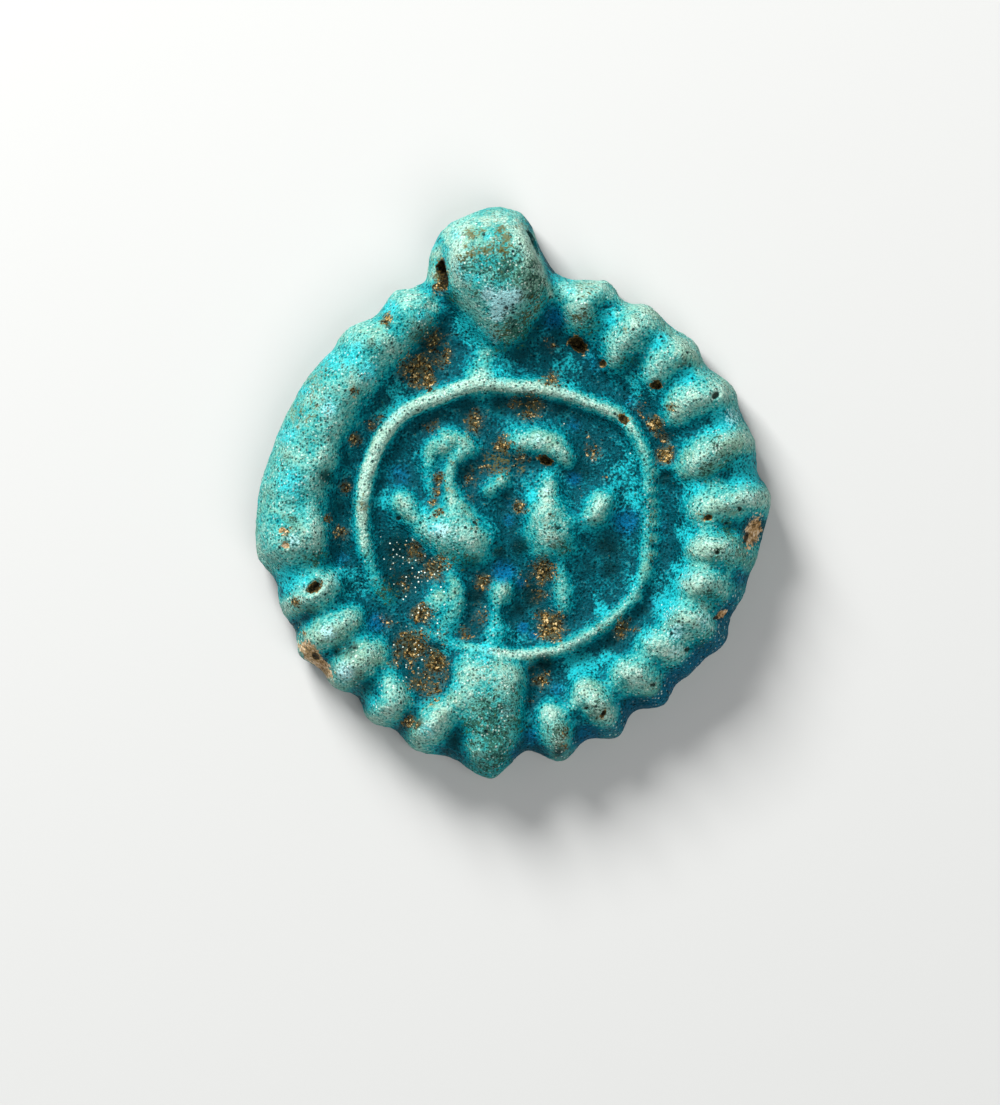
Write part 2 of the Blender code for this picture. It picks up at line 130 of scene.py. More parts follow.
# the outline's angle, reach and dip after each flute, then the flute's own line: x, y, rise, half width
FLUTES = (
    (3, 17.3, 0.45, (12.6, 0.3, 1.5, 1.3), (14, 0.5, 1.5, 1.05), (15.5, 0.8, 1.8, 0.85),
     (17.4, 0.8, 1.8, 0.85)),
    (16, 16.95, 0.28, (11.8, 2.9, 1.5, 1.05), (12.9, 3.7, 1.7, 1.15), (14.4, 4.6, 1.8, 0.95),
     (16.4, 4.9, 1.3, 0.9)),
    (29.5, 16.9, 0.48, (10.8, 6.5, 1.2, 0.9), (11.8, 7.4, 1.7, 1.05), (13.6, 7.9, 1.8, 1.05),
     (15.1, 8.4, 1.3, 1)),
    (42.5, 16.6, 0.28, (9.5, 9.1, 1.1, 0.9), (10.2, 10.1, 1.5, 1.05), (11.2, 10.8, 1.7, 1.2),
     (12.6, 11.4, 1.2, 1.2)),
    (55.5, 16.55, 0.62, (6.9, 10.1, 1, 0.8), (7.4, 11.3, 1.4, 1), (8.4, 12.3, 1.7, 1.3),
     (9.7, 13.7, 1.2, 1.2)),
    (68, 16.6, 0.64, (4.6, 12.9, 1.1, 0.95), (4.7, 14, 1.7, 1.2), (5.4, 14.8, 1.5, 1.05),
     (6.3, 15.6, 1.2, 0.9)),
    (117.5, 16.55, 0.45, (-6.1, 12.2, 0.7, 1), (-6.7, 13.4, 0.9, 1.1), (-7.7, 14.7, 0.9, 1)),
    (130.5, 16.25, 0.2, (-8.5, 11.2, 0.6, 1), (-9.6, 12, 0.8, 1.2), (-10.6, 12.6, 0.7, 1.1)),
    (146, 16.3, 0.05, (-10.6, 8.6, 0.5, 1.3), (-12, 8.4, 0.5, 1.6), (-13.4, 9.2, 0.4, 1.6)),
    (161.5, 16.35, 0.05, (-12, 5.8, 0.5, 1.3), (-13.4, 5.4, 0.5, 1.6), (-15.4, 5.2, 0.4, 1.6)),
    (175.5, 16.8, 0, (-12.1, 3.6, 0.8, 0.9), (-13.4, 2.9, 0.6, 1.3), (-15.4, 2, 0.5, 1.5)),
    (189, 17.1, 0.5, (-13.2, -1.6, 0.8, 1.1), (-14.6, -2, 1, 1.2), (-16.8, -2.6, 1.2, 1.2)),
    (203, 16.65, 0.42, (-12.1, -4.8, 1.6, 0.95), (-12.9, -5.4, 1.8, 1.15), (-14.2, -6.1, 1.6, 0.85),
     (-15.6, -6.8, 1.2, 0.8)),
    (214.5, 17, 0.25, (-10.7, -7.1, 1.5, 0.95), (-11.8, -7.8, 1.7, 1.15), (-12.9, -8.3, 1.8, 1.1),
     (-14.2, -9.7, 1.3, 1)),
    (224, 16.7, 0.7, (-9.3, -9.4, 1.4, 1.05), (-10.6, -10.3, 1.8, 1.15), (-11.6, -11.1, 1.6, 0.95),
     (-12.3, -11.9, 1.4, 0.9)),
    (236.5, 16.9, 0.55, (-8, -11.6, 1.1, 0.85), (-7.8, -12.6, 1.5, 0.95), (-8.4, -13.4, 1.6, 0.9),
     (-9.5, -14.3, 1.3, 0.9)),
    (248.5, 17.25, 0.6, (-4.6, -13.4, 1.3, 1.05), (-5.5, -14.5, 1.6, 1.05), (-6.5, -16.1, 1.6, 1)),
    (265, 17.85, 1.3, (-1.4, -15.6, 1.2, 1.35), (-1.5, -18, 1.2, 1.35)),
    (281.5, 17.05, 0.7, (2.6, -13.3, 1.3, 0.85), (2.9, -14.6, 1.6, 0.9), (3.3, -15.7, 1.8, 0.9),
     (3.6, -17.2, 1.6, 0.9)),
    (295, 16.6, 0.85, (4.8, -11.6, 1.3, 0.8), (5.5, -12.7, 1.8, 0.95), (6.3, -13.6, 1.8, 0.9),
     (7.1, -15.2, 1.5, 0.85)),
    (308.5, 16.45, 0.35, (7.8, -10.8, 1.5, 1.1), (8.7, -11.2, 1.8, 1.15), (9.5, -11.7, 1.3, 0.95),
     (10.3, -13, 0.5, 0.8)),
    (318.5, 16.2, 0.15, (9.5, -8.9, 1.5, 1.05), (10.5, -9.2, 1.8, 1.1), (11.4, -9.7, 1.4, 0.95),
     (12.1, -10.9, 0.5, 0.9)),
    (328.5, 16.7, 0.35, (11.1, -7.2, 1.5, 1.05), (12.2, -7.4, 1.8, 1.2), (13.4, -7.9, 1.5, 1.1),
     (14.3, -8.8, 0.9, 1)),
    (339, 16.5, 0.18, (12.2, -4.8, 1.7, 1.1), (13.2, -4.9, 1.8, 1.05), (14.5, -5.3, 1, 0.9),
     (15.6, -5.9, 0.8, 0.8)),
    (349, 16.7, 0.15, (12.6, -2.5, 1.6, 1.05), (13.8, -2.5, 1.7, 1), (15, -2.9, 1.2, 0.9),
     (16.5, -3.2, 0.9, 0.9)),
)
FLUTE_SPREAD, FLUTE_FULLNESS = 26.0, 2.1
# the outline around the lug: angle and reach
LUG_EDGE = (
    (68, 16.6), (72, 16.25), (76, 15.98), (80, 16.3), (84, 17.85), (86.5, 19.35), (92, 20.27), (98, 19.9),
    (102, 19.53), (105, 18.9), (107.6, 17.85), (110, 16.55), (113, 16.3), (117.5, 16.55),
)
print("flutes:", len(FLUTES))

# %% The outline
def outline(angle):
    """The disc's reach at an angle, scalloped by the flutes and drawn out at the lug."""
    angles, reaches, dips = np.array([row[:3] for row in FLUTES]).T
    before = np.searchsorted(angles, angle) - 1
    after = (before + 1) % len(angles)
    start = angles[before] - 360.0 * (before < 0)
    end = angles[after] + 360.0 * (after < before)
    share = (angle - start) / (end - start)
    crests = reaches[before] + (reaches[after] - reaches[before]) * ease(share)
    scalloped = crests - dips[before] * (1.0 - np.cos(2.0 * np.pi * share)) / 2.0
    lug_angles, lug_reaches = np.array(LUG_EDGE).T
    in_lug = (angle > lug_angles[0]) & (angle < lug_angles[-1])
    return np.where(in_lug, through(lug_angles, lug_reaches, angle), scalloped)


reach = outline(np.arange(0.0, 360.0, 0.5))
print("reach, mm:", reach.min().round(2), "to", reach.max().round(2))

# %% [markdown]
# ## Ridges and swellings
# Everything raised on the front is a rounded ridge: a flute, an arm, a neck, the lip of the rim. A ridge
# is swept along its curve: a round stamp is pressed at close steps, and the stamps are blended with a
# high power, so that the ridge has an even crest and soft round ends. The lug and the knob are broader,
# so they are lofted through rows across them.

# %% Ridges and swellings
STROKE_STEP, STROKE_BLEND = 0.2, 10.0
FLOOR_HEIGHT = 3.1
HALF_FALL = 0.7  # with this factor a bell is half as high at one half width from its middle
SWELLING_FALL = 0.75
MELTING = 3.0  # the power that melts overlapping forms into each other


def ridge(x, y, rows, fullness):
    """A rounded ridge along a smooth curve through rows of x, y, rise and half width."""
    rows = np.array(rows, float)
    steps = np.hypot(*np.diff(rows[:, :2], axis=0).T)
    knots = np.concatenate(((0.0,), np.cumsum(steps)))
    places = np.linspace(0.0, knots[-1], 2 + int(knots[-1] / STROKE_STEP))
    # with this share of each stamp, a long straight ridge reaches just its own rise
    share = (places[1] - places[0]) / (2.0 * math.gamma(1.0 + 1.0 / fullness))
    share *= (HALF_FALL * STROKE_BLEND) ** (1.0 / fullness)
    blended = np.zeros_like(x)
    for centre_x, centre_y, rise, half in zip(*(through(knots, column, places) for column in rows.T)):
        away = np.hypot(x - centre_x, y - centre_y) / half
        blended += share / half * (rise * np.exp(-HALF_FALL * away ** fullness)) ** STROKE_BLEND
    return blended ** (1.0 / STROKE_BLEND)


def swelling(x, y, rows):
    """A broad swelling lofted through rows of y, centre x, half width, height and steepness."""
    rows = np.array(sorted(rows), float)
    place = np.clip(y, rows[0, 0], rows[-1, 0])
    centre, half, top, shoulder = (through(rows[:, 0], column, place) for column in rows.T[1:])
    away = np.hypot(x - centre, y - place) / half
    return np.maximum(top - FLOOR_HEIGHT, 0.0) * np.exp(-SWELLING_FALL * away ** shoulder)


def together(heights):
    """Melt overlapping forms into each other, the higher one leading."""
    return sum(height ** MELTING for height in heights) ** (1.0 / MELTING)


def rim(x, y, angle, radius):
    """The shelf along the edge with its flutes."""
    angles, *columns = np.array(SHELF).T
    rise, start, width = (around(angle, angles, column) for column in columns)
    shelf = np.maximum(rise, 0.0) * ease((radius - start) / width)
    flutes = []
    for flute_angle, _, _, *line in FLUTES:
        near = np.abs((angle - flute_angle + 180.0) % 360.0 - 180.0) < FLUTE_SPREAD
        flute = np.zeros_like(x)
        flute[near] = ridge(x[near], y[near], line, FLUTE_FULLNESS)
        flutes.append(flute)
    return shelf + together(flutes)


straight = ((-2, 0, 1, 1), (2, 0, 1, 1))
print("crest of a plain ridge:", ridge(np.zeros(1), np.zeros(1), straight, FLUTE_FULLNESS).round(2))

# %% [markdown]
# ## The ring, the figures, the knob and the lug
# The ring is raised thinly around the field, sharper on its inner side, and worn away at the lower left.
# In the field two seated figures face each other. They are small and worn: only heads, necks, bodies,
# lifted arms and legs can be told apart, and none has a face. Each limb is one ridge.

# %% The ring, in degrees and millimetres around the disc's centre
# angle, radius of the crest
RING_CREST = (
    (6, 9.15), (24, 9.7), (39, 9.65), (55, 8.8), (73, 8.4), (90, 8.25), (105.5, 8.65), (122.5, 8.9),
    (140, 9.65), (158, 9.8), (177, 9.85), (193, 9.95), (210, 10.05), (224.5, 10.1), (241.5, 9.65),
    (258, 9.4), (277, 9.55), (291.5, 9.7), (308, 9.7), (323.5, 9.9), (334, 9.85), (347.5, 9.3),
)
# angle, the ring's rise, its half width outside the crest
RING_PROFILE = (
    (10, 0.85, 0.5), (45, 1.05, 0.65), (75, 1.2, 0.75), (105, 1.25, 0.8), (140, 1.3, 0.8),
    (180, 1.15, 0.75), (206, 0.75, 0.75), (224, 0.25, 0.75), (242, 0.75, 0.72), (268, 1.05, 0.7),
    (300, 1, 0.62), (330, 0.9, 0.5), (350, 0.8, 0.45),
)
RING_INNER_HALF, RING_FULLNESS = 0.52, 2.2  # its half width inside, and how full its section is
print("ring: places on its crest:", len(RING_CREST))

# %% Figures and other strokes
# x, y, rise above the floor, half width
STROKES = {
    "left head": ((-5, 4.3, 0.9, 0.8), (-4.2, 4.7, 1.2, 0.85), (-3.1, 4.5, 1.1, 0.7)),
    "left neck": ((-2.6, 4.1, 0.9, 0.5), (-3.7, 3.5, 1.2, 0.48), (-4.15, 2.2, 1.2, 0.5),
                  (-3.9, 0.9, 1.3, 0.75), (-3.6, -0.2, 1.4, 1.1)),
    "left mane": ((-5.4, 4, 0.8, 0.6), (-5.5, 2.4, 0.8, 0.5), (-5.3, 0.8, 0.8, 0.55), (-5, -0.2, 0.8, 0.6)),
    "left arm": ((-7.2, 0.6, 1.4, 0.85), (-6.7, 0, 1.4, 0.85), (-6, -0.8, 1.2, 0.8), (-5.4, -1.1, 1.5, 1)),
    "left body": ((-4.9, -1.2, 1.7, 1.5), (-3.8, -1.6, 2, 1.75), (-2.7, -1.9, 1.8, 1.45)),
    "left leg": ((-4.5, -3.7, 0.8, 0.7), (-3.9, -4.7, 1, 0.65), (-3.7, -5.9, 1.1, 0.65), (-4, -7, 1, 0.7),
                 (-4.7, -7.8, 0.7, 0.8)),
    "left haunch": ((-5, -4.8, 0.6, 0.9), (-5.1, -6.2, 0.8, 1)),
    "right head": ((0.5, 4.7, 1.1, 0.9), (1.6, 4.7, 1.4, 0.9), (2.7, 4.35, 1.4, 0.9),
                   (3.5, 3.6, 1.3, 0.75)),
    "right neck": ((2.5, 2.6, 0.9, 0.65), (2.4, 1.4, 1.3, 0.7), (2.4, 0, 1.7, 1)),
    "right breast": ((1.5, 2.3, 0.6, 0.7), (1.4, 0.8, 0.8, 0.8), (1.7, -0.4, 0.9, 0.85)),
    "right body": ((2.5, -0.6, 1.8, 1.4), (2.6, -1.5, 2, 1.5)),
    "right arm": ((3.8, -0.7, 0.9, 0.6), (4.6, -0.5, 0.9, 0.6), (5.5, -0.1, 1.4, 0.9), (6, 0.6, 1.4, 0.8)),
    "fruit": ((-1.5, 1.4, 1, 0.65), (-0.6, 2.1, 0.8, 0.6)),
    "right leg": ((3.2, -3.8, 0.6, 0.55), (3.4, -5.2, 0.9, 0.6), (3.5, -6.3, 0.7, 0.55)),
    "stem": ((-0.6, -5.3, 1.3, 0.8), (-0.95, -6.4, 0.8, 0.5), (-1, -7.4, 0.9, 0.55), (-1.2, -8.8, 1.1, 1)),
    "spur": ((-1.9, 8.5, 1, 1.1), (-2.3, 9.6, 0.6, 0.9)),
    "bump": ((10.1, 3, 0.6, 0.4), (10.7, 3, 0.6, 0.4)),
    "knob arm": ((-3.2, -12.2, 1.8, 1.1), (-4.4, -13.4, 2, 1), (-5.4, -14.6, 1.8, 0.9)),
    "rim lip": ((3.4, 14.9, 1.3, 0.7), (6, 14.8, 1.7, 0.8), (8.8, 13.1, 1.8, 0.8), (11.8, 10.7, 1.8, 0.8),
                (14.1, 8, 1.8, 0.8), (15.7, 4.8, 1.3, 0.7)),
    "left lip": ((-7.8, 14.2, 1.4, 0.7), (-5.8, 14.6, 1.2, 0.7)),
    "lug lip": ((0.5, 18.8, 2.4, 0.35), (1.1, 17.7, 2.7, 0.35), (1.7, 16.6, 2.7, 0.35),
                (2.2, 15.2, 2.3, 0.35)),
    "split flute": ((4.7, -11.9, 1.4, 0.7), (4.1, -13, 1.6, 0.6), (3.8, -13.7, 1, 0.6)),
}
STROKE_FULLNESS = 2.1
print("strokes:", ", ".join(STROKES))

# %% Hollows, lug, knob and edge
# hollows pressed into the floor: x, y, depth, radius
HOLLOWS = ((-6.4, -3.7, 0.45, 2.2), (1.3, -5.6, 0.45, 1.9), (-0.9, 0.2, 0.25, 1.2), (9.8, 0, 0.25, 1.4))
# y, centre x, half width, height above the back, steepness of the flanks
LUG_BASE = (
    (21, -1.7, 3.2, 3.2, 4.6), (17, -1.7, 3.6, 3.2, 4.6), (15, -1.6, 3.9, 3.2, 4.6),
    (13.5, -1.4, 3.6, 3.2, 4.6),
)
LUG_BOSS = (
    (20.4, -1.4, 2.3, 6, 4), (19, -1.5, 2.6, 6.9, 5), (18, -1.4, 2.85, 7.3, 6), (17, -1.2, 3.1, 7.5, 7),
    (16, -1.05, 3.25, 7.5, 7), (15, -0.9, 3.25, 7.3, 5), (14, -0.8, 2.95, 6.8, 3.6),
    (13, -0.7, 2.4, 6.1, 2.8), (12, -0.65, 1.8, 5.2, 2.4), (11, -0.6, 1.3, 4, 2.2), (10, -0.6, 0.8, 3.1, 2),
)
KNOB = (
    (-8.6, -1.7, 1.6, 3.5, 3), (-9.6, -1.7, 2.1, 4.5, 3), (-10.8, -1.5, 2.3, 5.5, 3.8),
    (-12, -1.55, 2.4, 5.6, 4), (-13.5, -1.45, 2.3, 5.3, 4), (-15, -1.2, 1.95, 4.9, 4),
    (-16.4, -1.3, 1.6, 4.8, 3.4), (-18.2, -1.3, 1.3, 4.2, 3),
)
EDGE_HEIGHT = 1.5
# angle, and how far in the edge's rounding reaches for each millimetre above the edge height
EDGE_SLOPE = ((20, 0.55), (100, 0.45), (180, 0.55), (250, 0.6), (290, 0.65), (308, 1), (322, 1),
              (338, 0.75))
print("rows across the lug and the knob:", len(LUG_BASE) + len(LUG_BOSS) + len(KNOB))

# %% The height of the front
def raised_ring(angle, radius):
    """The ring around the figures."""
    away = radius - around(angle, *np.array(RING_CREST).T)
    angles, rises, halves = np.array(RING_PROFILE).T
    half = np.where(away < 0.0, RING_INNER_HALF, around(angle, angles, halves))
    return around(angle, angles, rises) * np.exp(-HALF_FALL * np.abs(away / half) ** RING_FULLNESS)


def moulded_height(x, y):
    """Height of the front as it left the mould, before its edge falls away."""
    angle = np.degrees(np.arctan2(y, x)) % 360.0
    radius = np.hypot(x, y)
    forms = [rim(x, y, angle, radius), raised_ring(angle, radius)]
    forms += [ridge(x, y, rows, STROKE_FULLNESS) for rows in STROKES.values()]
    forms += [swelling(x, y, rows) for rows in (LUG_BASE, LUG_BOSS, KNOB)]
    height = FLOOR_HEIGHT + together(forms)
    for hollow_x, hollow_y, depth, reach in HOLLOWS:
        height -= depth * np.exp(-((x - hollow_x) ** 2 + (y - hollow_y) ** 2) / reach ** 2)
    return height


def fallen(x, y, height):
    """The same height, rounded down towards the outline."""
    angle = np.degrees(np.arctan2(y, x)) % 360.0
    above_edge = height - EDGE_HEIGHT
    slope = around(angle, *np.array(EDGE_SLOPE).T)
    inward = np.clip((outline(angle) - np.hypot(x, y)) / (slope * above_edge), 0.0, 1.0)
    return EDGE_HEIGHT + above_edge * np.sqrt(1.0 - (1.0 - inward) ** 2)


print("height of the middle:", moulded_height(np.zeros(1), np.zeros(1)).round(2))

# %% [markdown]
# ## The heights on a chart
# Where glaze wears pale and where it pools dark depends on how a spot lies against its surroundings. So
# the front is first charted on an even grid, and the chart is blurred: height less its blur is positive
# on crests and negative in troughs. A blur of a chart is quick through its Fourier transform.

# %% Chart
CHART_STEP, CHART_HALF = 0.1, 24.0
WEAR = 0.18  # how far, in millimetres, touch and weather have rounded the moulded forms
FINE_BLUR, BROAD_BLUR = 0.7, 2.2
chart_axis = np.arange(-CHART_HALF, CHART_HALF, CHART_STEP)
chart_x, chart_y = np.meshgrid(chart_axis, chart_axis)


def blurred(values, spread):
    """The chart's values, blurred by a bell of that spread in millimetres."""
    frequency = np.fft.fftfreq(len(chart_axis), CHART_STEP)
    bell = np.exp(-2.0 * (np.pi * spread * frequency) ** 2)
    return np.fft.ifft2(np.fft.fft2(values) * bell[:, None] * bell[None, :]).real


def read_chart(values, x, y):
    """Read a chart between its places."""
    column = np.clip((x + CHART_HALF) / CHART_STEP, 0, len(chart_axis) - 1.001)
    row = np.clip((y + CHART_HALF) / CHART_STEP, 0, len(chart_axis) - 1.001)
    i, j = row.astype(int), column.astype(int)
    up, along = row - i, column - j
    low = values[i, j] * (1.0 - along) + values[i, j + 1] * along
    high = values[i + 1, j] * (1.0 - along) + values[i + 1, j + 1] * along
    return low * (1.0 - up) + high * up


chart = blurred(moulded_height(chart_x, chart_y), WEAR)
crown_fine = chart - blurred(chart, FINE_BLUR)
crown_broad = chart - blurred(chart, BROAD_BLUR)
print("chart:", chart.shape, "highest", chart.max().round(2))

# %% [markdown]
# ## Rough skin
# Fired quartz paste is never smooth. Lumps of a millimetre or two remain from the hand and the mould,
# and over them lies a grain like coarse sugar. Both are noise: random values at the corners of a lattice
# of cubes, blended smoothly in between, which gives the same result on every run.

# %% Noise
LATTICE, LATTICE_START = 32, 7.3  # cubes along each side; where the points start among them


def noise(points, size, seed):
    """Smooth random values from -1 to 1 at points in millimetres, with lumps of the given size."""
    lattice = np.random.default_rng(seed).uniform(-1.0, 1.0, (LATTICE, LATTICE, LATTICE))
    scaled = points / size + LATTICE_START
    corner = np.floor(scaled).astype(int)
    inside = ease(scaled - corner)
    total = np.zeros(len(points))
    for step in np.ndindex(2, 2, 2):
        weight = np.prod(np.where(step, inside, 1.0 - inside), axis=1)
        i, j, k = ((corner + step) % LATTICE).T
        total += weight * lattice[i, j, k]
    return total


print("noise at the origin:", noise(np.zeros((1, 3)), 1.0, 1).round(3))

# %% [markdown]
# ## Pits and chips
# Burst bubbles left round pits, and the edge has lost a few flakes, which bare the pale body under the
# glaze. They are real dents in the mesh, because they show in the shape. What fills each one is kept
# beside it, for the colours later.

# %% Pits and chips: x, y, half length, half width, turn, depth, filling
PITS = (
    (4.25, 11.25, 0.44, 0.4, 0, 0.65, "soil"), (4.62, 10.95, 0.5, 0.36, -50, 0.65, "soil"),
    (9.65, 8.4, 0.36, 0.32, 0, 0.55, "soil"), (6.1, 9.85, 0.26, 0.22, 0, 0.3, "soil"),
    (13.6, 7.7, 0.32, 0.2, 45, 0.3, "dark"), (7.5, 6.1, 0.4, 0.26, -60, 0.4, "soil"),
    (2.3, 3.4, 0.56, 0.3, -25, 0.6, "soil"), (-13.05, -5.05, 0.58, 0.3, 42, 0.7, "soil"),
    (-7.5, -0.45, 0.18, 0.14, 0, 0.3, "dark"), (15.2, 0.15, 0.2, 0.14, -40, 0.25, "dark"),
    (13.1, -0.4, 0.28, 0.2, 30, 0.25, "soil"), (13.7, -2.75, 0.18, 0.15, 0, 0.25, "dark"),
    (11.7, -9.2, 0.22, 0.16, 40, 0.3, "dark"), (9.45, -11.55, 0.22, 0.14, 20, 0.25, "dark"),
    (5, -13.1, 0.16, 0.12, 0, 0.25, "dark"), (6.1, -13.5, 0.26, 0.18, 60, 0.25, "soil"),
    (10.45, 2.42, 0.62, 0.16, 8, 0.2, "clear"), (-1.6, 18.3, 0.34, 0.26, 0, 0.22, "clear"),
    (-0.3, 13.5, 0.26, 0.12, -50, 0.22, "dark"), (-0.95, 13, 0.14, 0.12, 0, 0.2, "clear"),
    (3.1, -1.15, 0.15, 0.12, 0, 0.22, "dark"), (-2.4, -0.8, 0.26, 0.1, -45, 0.22, "dark"),
    (16.1, -1.4, 1.1, 0.48, 72, 0.6, "bare"), (15.62, -1.75, 0.42, 0.16, 78, 0.3, "dark"),
    (-13.4, -9.4, 0.85, 0.5, -48, 0.4, "bare"), (-12.5, -10.5, 0.75, 0.45, -45, 0.4, "bare"),
    (-13.05, -9.65, 0.3, 0.18, -40, 0.2, "soil"), (14, -6.85, 0.45, 0.22, 30, 0.2, "bare"),
    (13.6, -7.1, 0.22, 0.12, 20, 0.15, "dark"), (-15.2, -1.3, 0.24, 0.18, 0, 0.2, "bare"),
    (-15, -2.3, 0.26, 0.2, 0, 0.2, "bare"),
)
PIT_FULLNESS = 1.7  # how steep a pit's walls are


def pit_shape(x, y, pit):
    """How far each place lies in a pit, from 0 outside to 1 at its bottom."""
    centre_x, centre_y, half_length, half_width, turn = pit[:5]
    cosine, sine = math.cos(math.radians(turn)), math.sin(math.radians(turn))
    along = ((x - centre_x) * cosine + (y - centre_y) * sine) / half_length
    across = ((y - centre_y) * cosine - (x - centre_x) * sine) / half_width
    return np.exp(-HALF_FALL * (along ** 2 + across ** 2) ** PIT_FULLNESS)


def front_height(x, y):
    """The finished front: moulded, pitted and rounded down at its edge."""
    height = fallen(x, y, read_chart(chart, x, y))
    return height - sum(pit[5] * pit_shape(x, y, pit) for pit in PITS)


print("pits and chips:", len(PITS))

# %% [markdown]
# ## The body
# The front starts as a square grid. Its squares are spread into rings that follow the raised ring and
# the outline, so that edges of the mesh run along the crests instead of across them, and there is no
# pinched pole in the middle. A disc of spokes would crowd its middle, and a flat grid would leave steps
# at the outline.

# %% Front
SQUARES, SQUARES_IN_RING = 132, 72
RING_CROWDING, EDGE_CROWDING = 0.15, 1.35


def spread_squares(x, y):
    """Turn a square grid from -1 to 1 into rings that follow the raised ring and the outline."""
    ring = np.maximum(np.abs(x), np.abs(y))
    steep = np.abs(y) > np.abs(x)
    long, short = np.where(steep, y, x), np.where(steep, x, y)
    slope = short / np.where(long == 0.0, 1.0, long)
    angle = (np.where(steep, 90.0 - 45.0 * slope, 45.0 * slope) + 180.0 * (long < 0.0)) % 360.0
    crest = around(angle, *np.array(RING_CREST).T)
    share = SQUARES_IN_RING / SQUARES
    inside = np.clip(ring / share, 0.0, 1.0)
    outside = np.clip((ring - share) / (1.0 - share), 0.0, 1.0)
    inside = inside + RING_CROWDING * np.sin(np.pi * inside) / np.pi
    outside = 1.0 - (1.0 - outside) ** EDGE_CROWDING
    radius = crest * inside + (outline(angle) - crest) * outside
    return radius * np.cos(np.radians(angle)), radius * np.sin(np.radians(angle))


def place(verts, x, y, z):
    """Set the vertices' places, given in millimetres."""
    for vert, *point in zip(verts, x, y, z):
        vert.co = [value * MM for value in point]


def places(verts):
    """The vertices' places in millimetres."""
    return np.array([vert.co[:] for vert in verts]) / MM


body = bmesh.new()
bmesh.ops.create_grid(body, x_segments=2 * SQUARES, y_segments=2 * SQUARES, size=1.0)
front = list(body.verts)
grid_x, grid_y = places(front)[:, :2].T * MM
front_x, front_y = spread_squares(grid_x, grid_y)
place(front, front_x, front_y, front_height(front_x, front_y))
print("front:", len(body.verts), "vertices,", len(body.faces), "faces")

# %% [markdown]
# ## Edge and back
# The edge drops to the flat back and turns under in a small round, as paste does against a board. Loops
# are extruded from the rim of the grid and drawn inwards, and the last one is closed by a fan. A Solidify
# modifier would give an even shell instead of one flat back.

# %% Edge and back
# how far in from the outline, at what height
FOOT_STEPS = ((0.02, 1.15), (0.06, 0.8), (0.14, 0.5), (0.28, 0.25), (0.5, 0.08), (0.8, 0))
BACK_RINGS = 11


def extrude_loop(mesh, loop):
    """Extrude an edge loop: the new edges and vertices."""
    made = bmesh.ops.extrude_edge_only(mesh, edges=loop)["geom"]
    return ([item for item in made if isinstance(item, bmesh.types.BMEdge)],
            [item for item in made if isinstance(item, bmesh.types.BMVert)])


loop = [edge for edge in body.edges if edge.is_boundary]
reached = 0.0
for amount, height in FOOT_STEPS:
    loop, verts = extrude_loop(body, loop)
    x, y, _ = places(verts).T
    share = 1.0 - (amount - reached) / np.hypot(x, y)
    place(verts, x * share, y * share, np.full(len(verts), height))
    reached = amount
for ring in range(BACK_RINGS, 0, -1):
    loop, verts = extrude_loop(body, loop)
    bmesh.ops.scale(body, verts=verts, vec=(ring / (ring + 1.0), ring / (ring + 1.0), 1.0))
cap = bmesh.ops.contextual_create(body, geom=loop)["faces"]
bmesh.ops.poke(body, faces=cap)
bmesh.ops.recalc_face_normals(body, faces=body.faces)
body.normal_update()
print("closed body:", len(body.faces), "faces, open edges:", sum(edge.is_boundary for edge in body.edges))

# %% [markdown]
# ## Lumps and grain
# The whole skin is now moved along its normals by noise of several sizes. The back is pressed flat on a
# board, so it gets the grain but almost no lumps, and it stays inside the solid.

# %% Lumps and grain: size, depth, seed, all in millimetres
SKIN = ((2.6, 0.1, 3), (1.2, 0.07, 5), (0.55, 0.045, 7), (0.28, 0.03, 11))
BACK_ZONE = 0.9  # the height up to which the board has smoothed the skin
LUMP_SIZE, LUMPS_PRESSED, GRAIN_PRESSED = 0.8, 0.9, 0.4
BACK_GRAIN = (0.5, 0.012, 13)
verts = list(body.verts)
points = places(verts)
normals = np.array([vert.normal[:] for vert in verts])
pressed = ease((BACK_ZONE - points[:, 2]) / BACK_ZONE)
move = np.zeros(len(points))
for size, depth, seed in SKIN:
    keep = 1.0 - pressed * (LUMPS_PRESSED if size > LUMP_SIZE else GRAIN_PRESSED)
    move += depth * keep * noise(points, size, seed)
moved = points + normals * move[:, None]
size, depth, seed = BACK_GRAIN
moved[:, 2] = np.maximum(moved[:, 2], depth * (1.0 + noise(points, size, seed)))
place(verts, *moved.T)
print("skin moved by up to", np.abs(move).max().round(3), "mm")

# %% [markdown]
# ## Into place
# The tables are measured from the disc's centre. The solid's own box says where that centre lies, so the
# body is shifted until the middles of both boxes agree.

# %% Into place
all_round = np.arange(0.0, 360.0, 0.05)
outer = np.array([(*polar(angle, r), 0.0) for angle, r in zip(all_round, outline(all_round))]) * MM
shift = (solid_low + solid_high - outer.min(axis=0) - outer.max(axis=0)) / 2.0
shift[2] = solid_low[2]
bmesh.ops.translate(body, verts=body.verts, vec=shift)
mesh = bpy.data.meshes.new("faience_pendant")
body.to_mesh(mesh)
body.free()
pendant = bpy.data.objects.new("faience_pendant", mesh)
bpy.context.scene.collection.objects.link(pendant)
print("shift, mm:", np.round(shift / MM, 3))

# %% [markdown]
# ## The bore
# While the paste was damp a rod was pushed through the lug, from its left flank to its right one. A
# Boolean with the exact solver cuts the same hole, and its cutter is then removed. Its two mouths are
# ragged, because the noise also runs over the cutter.

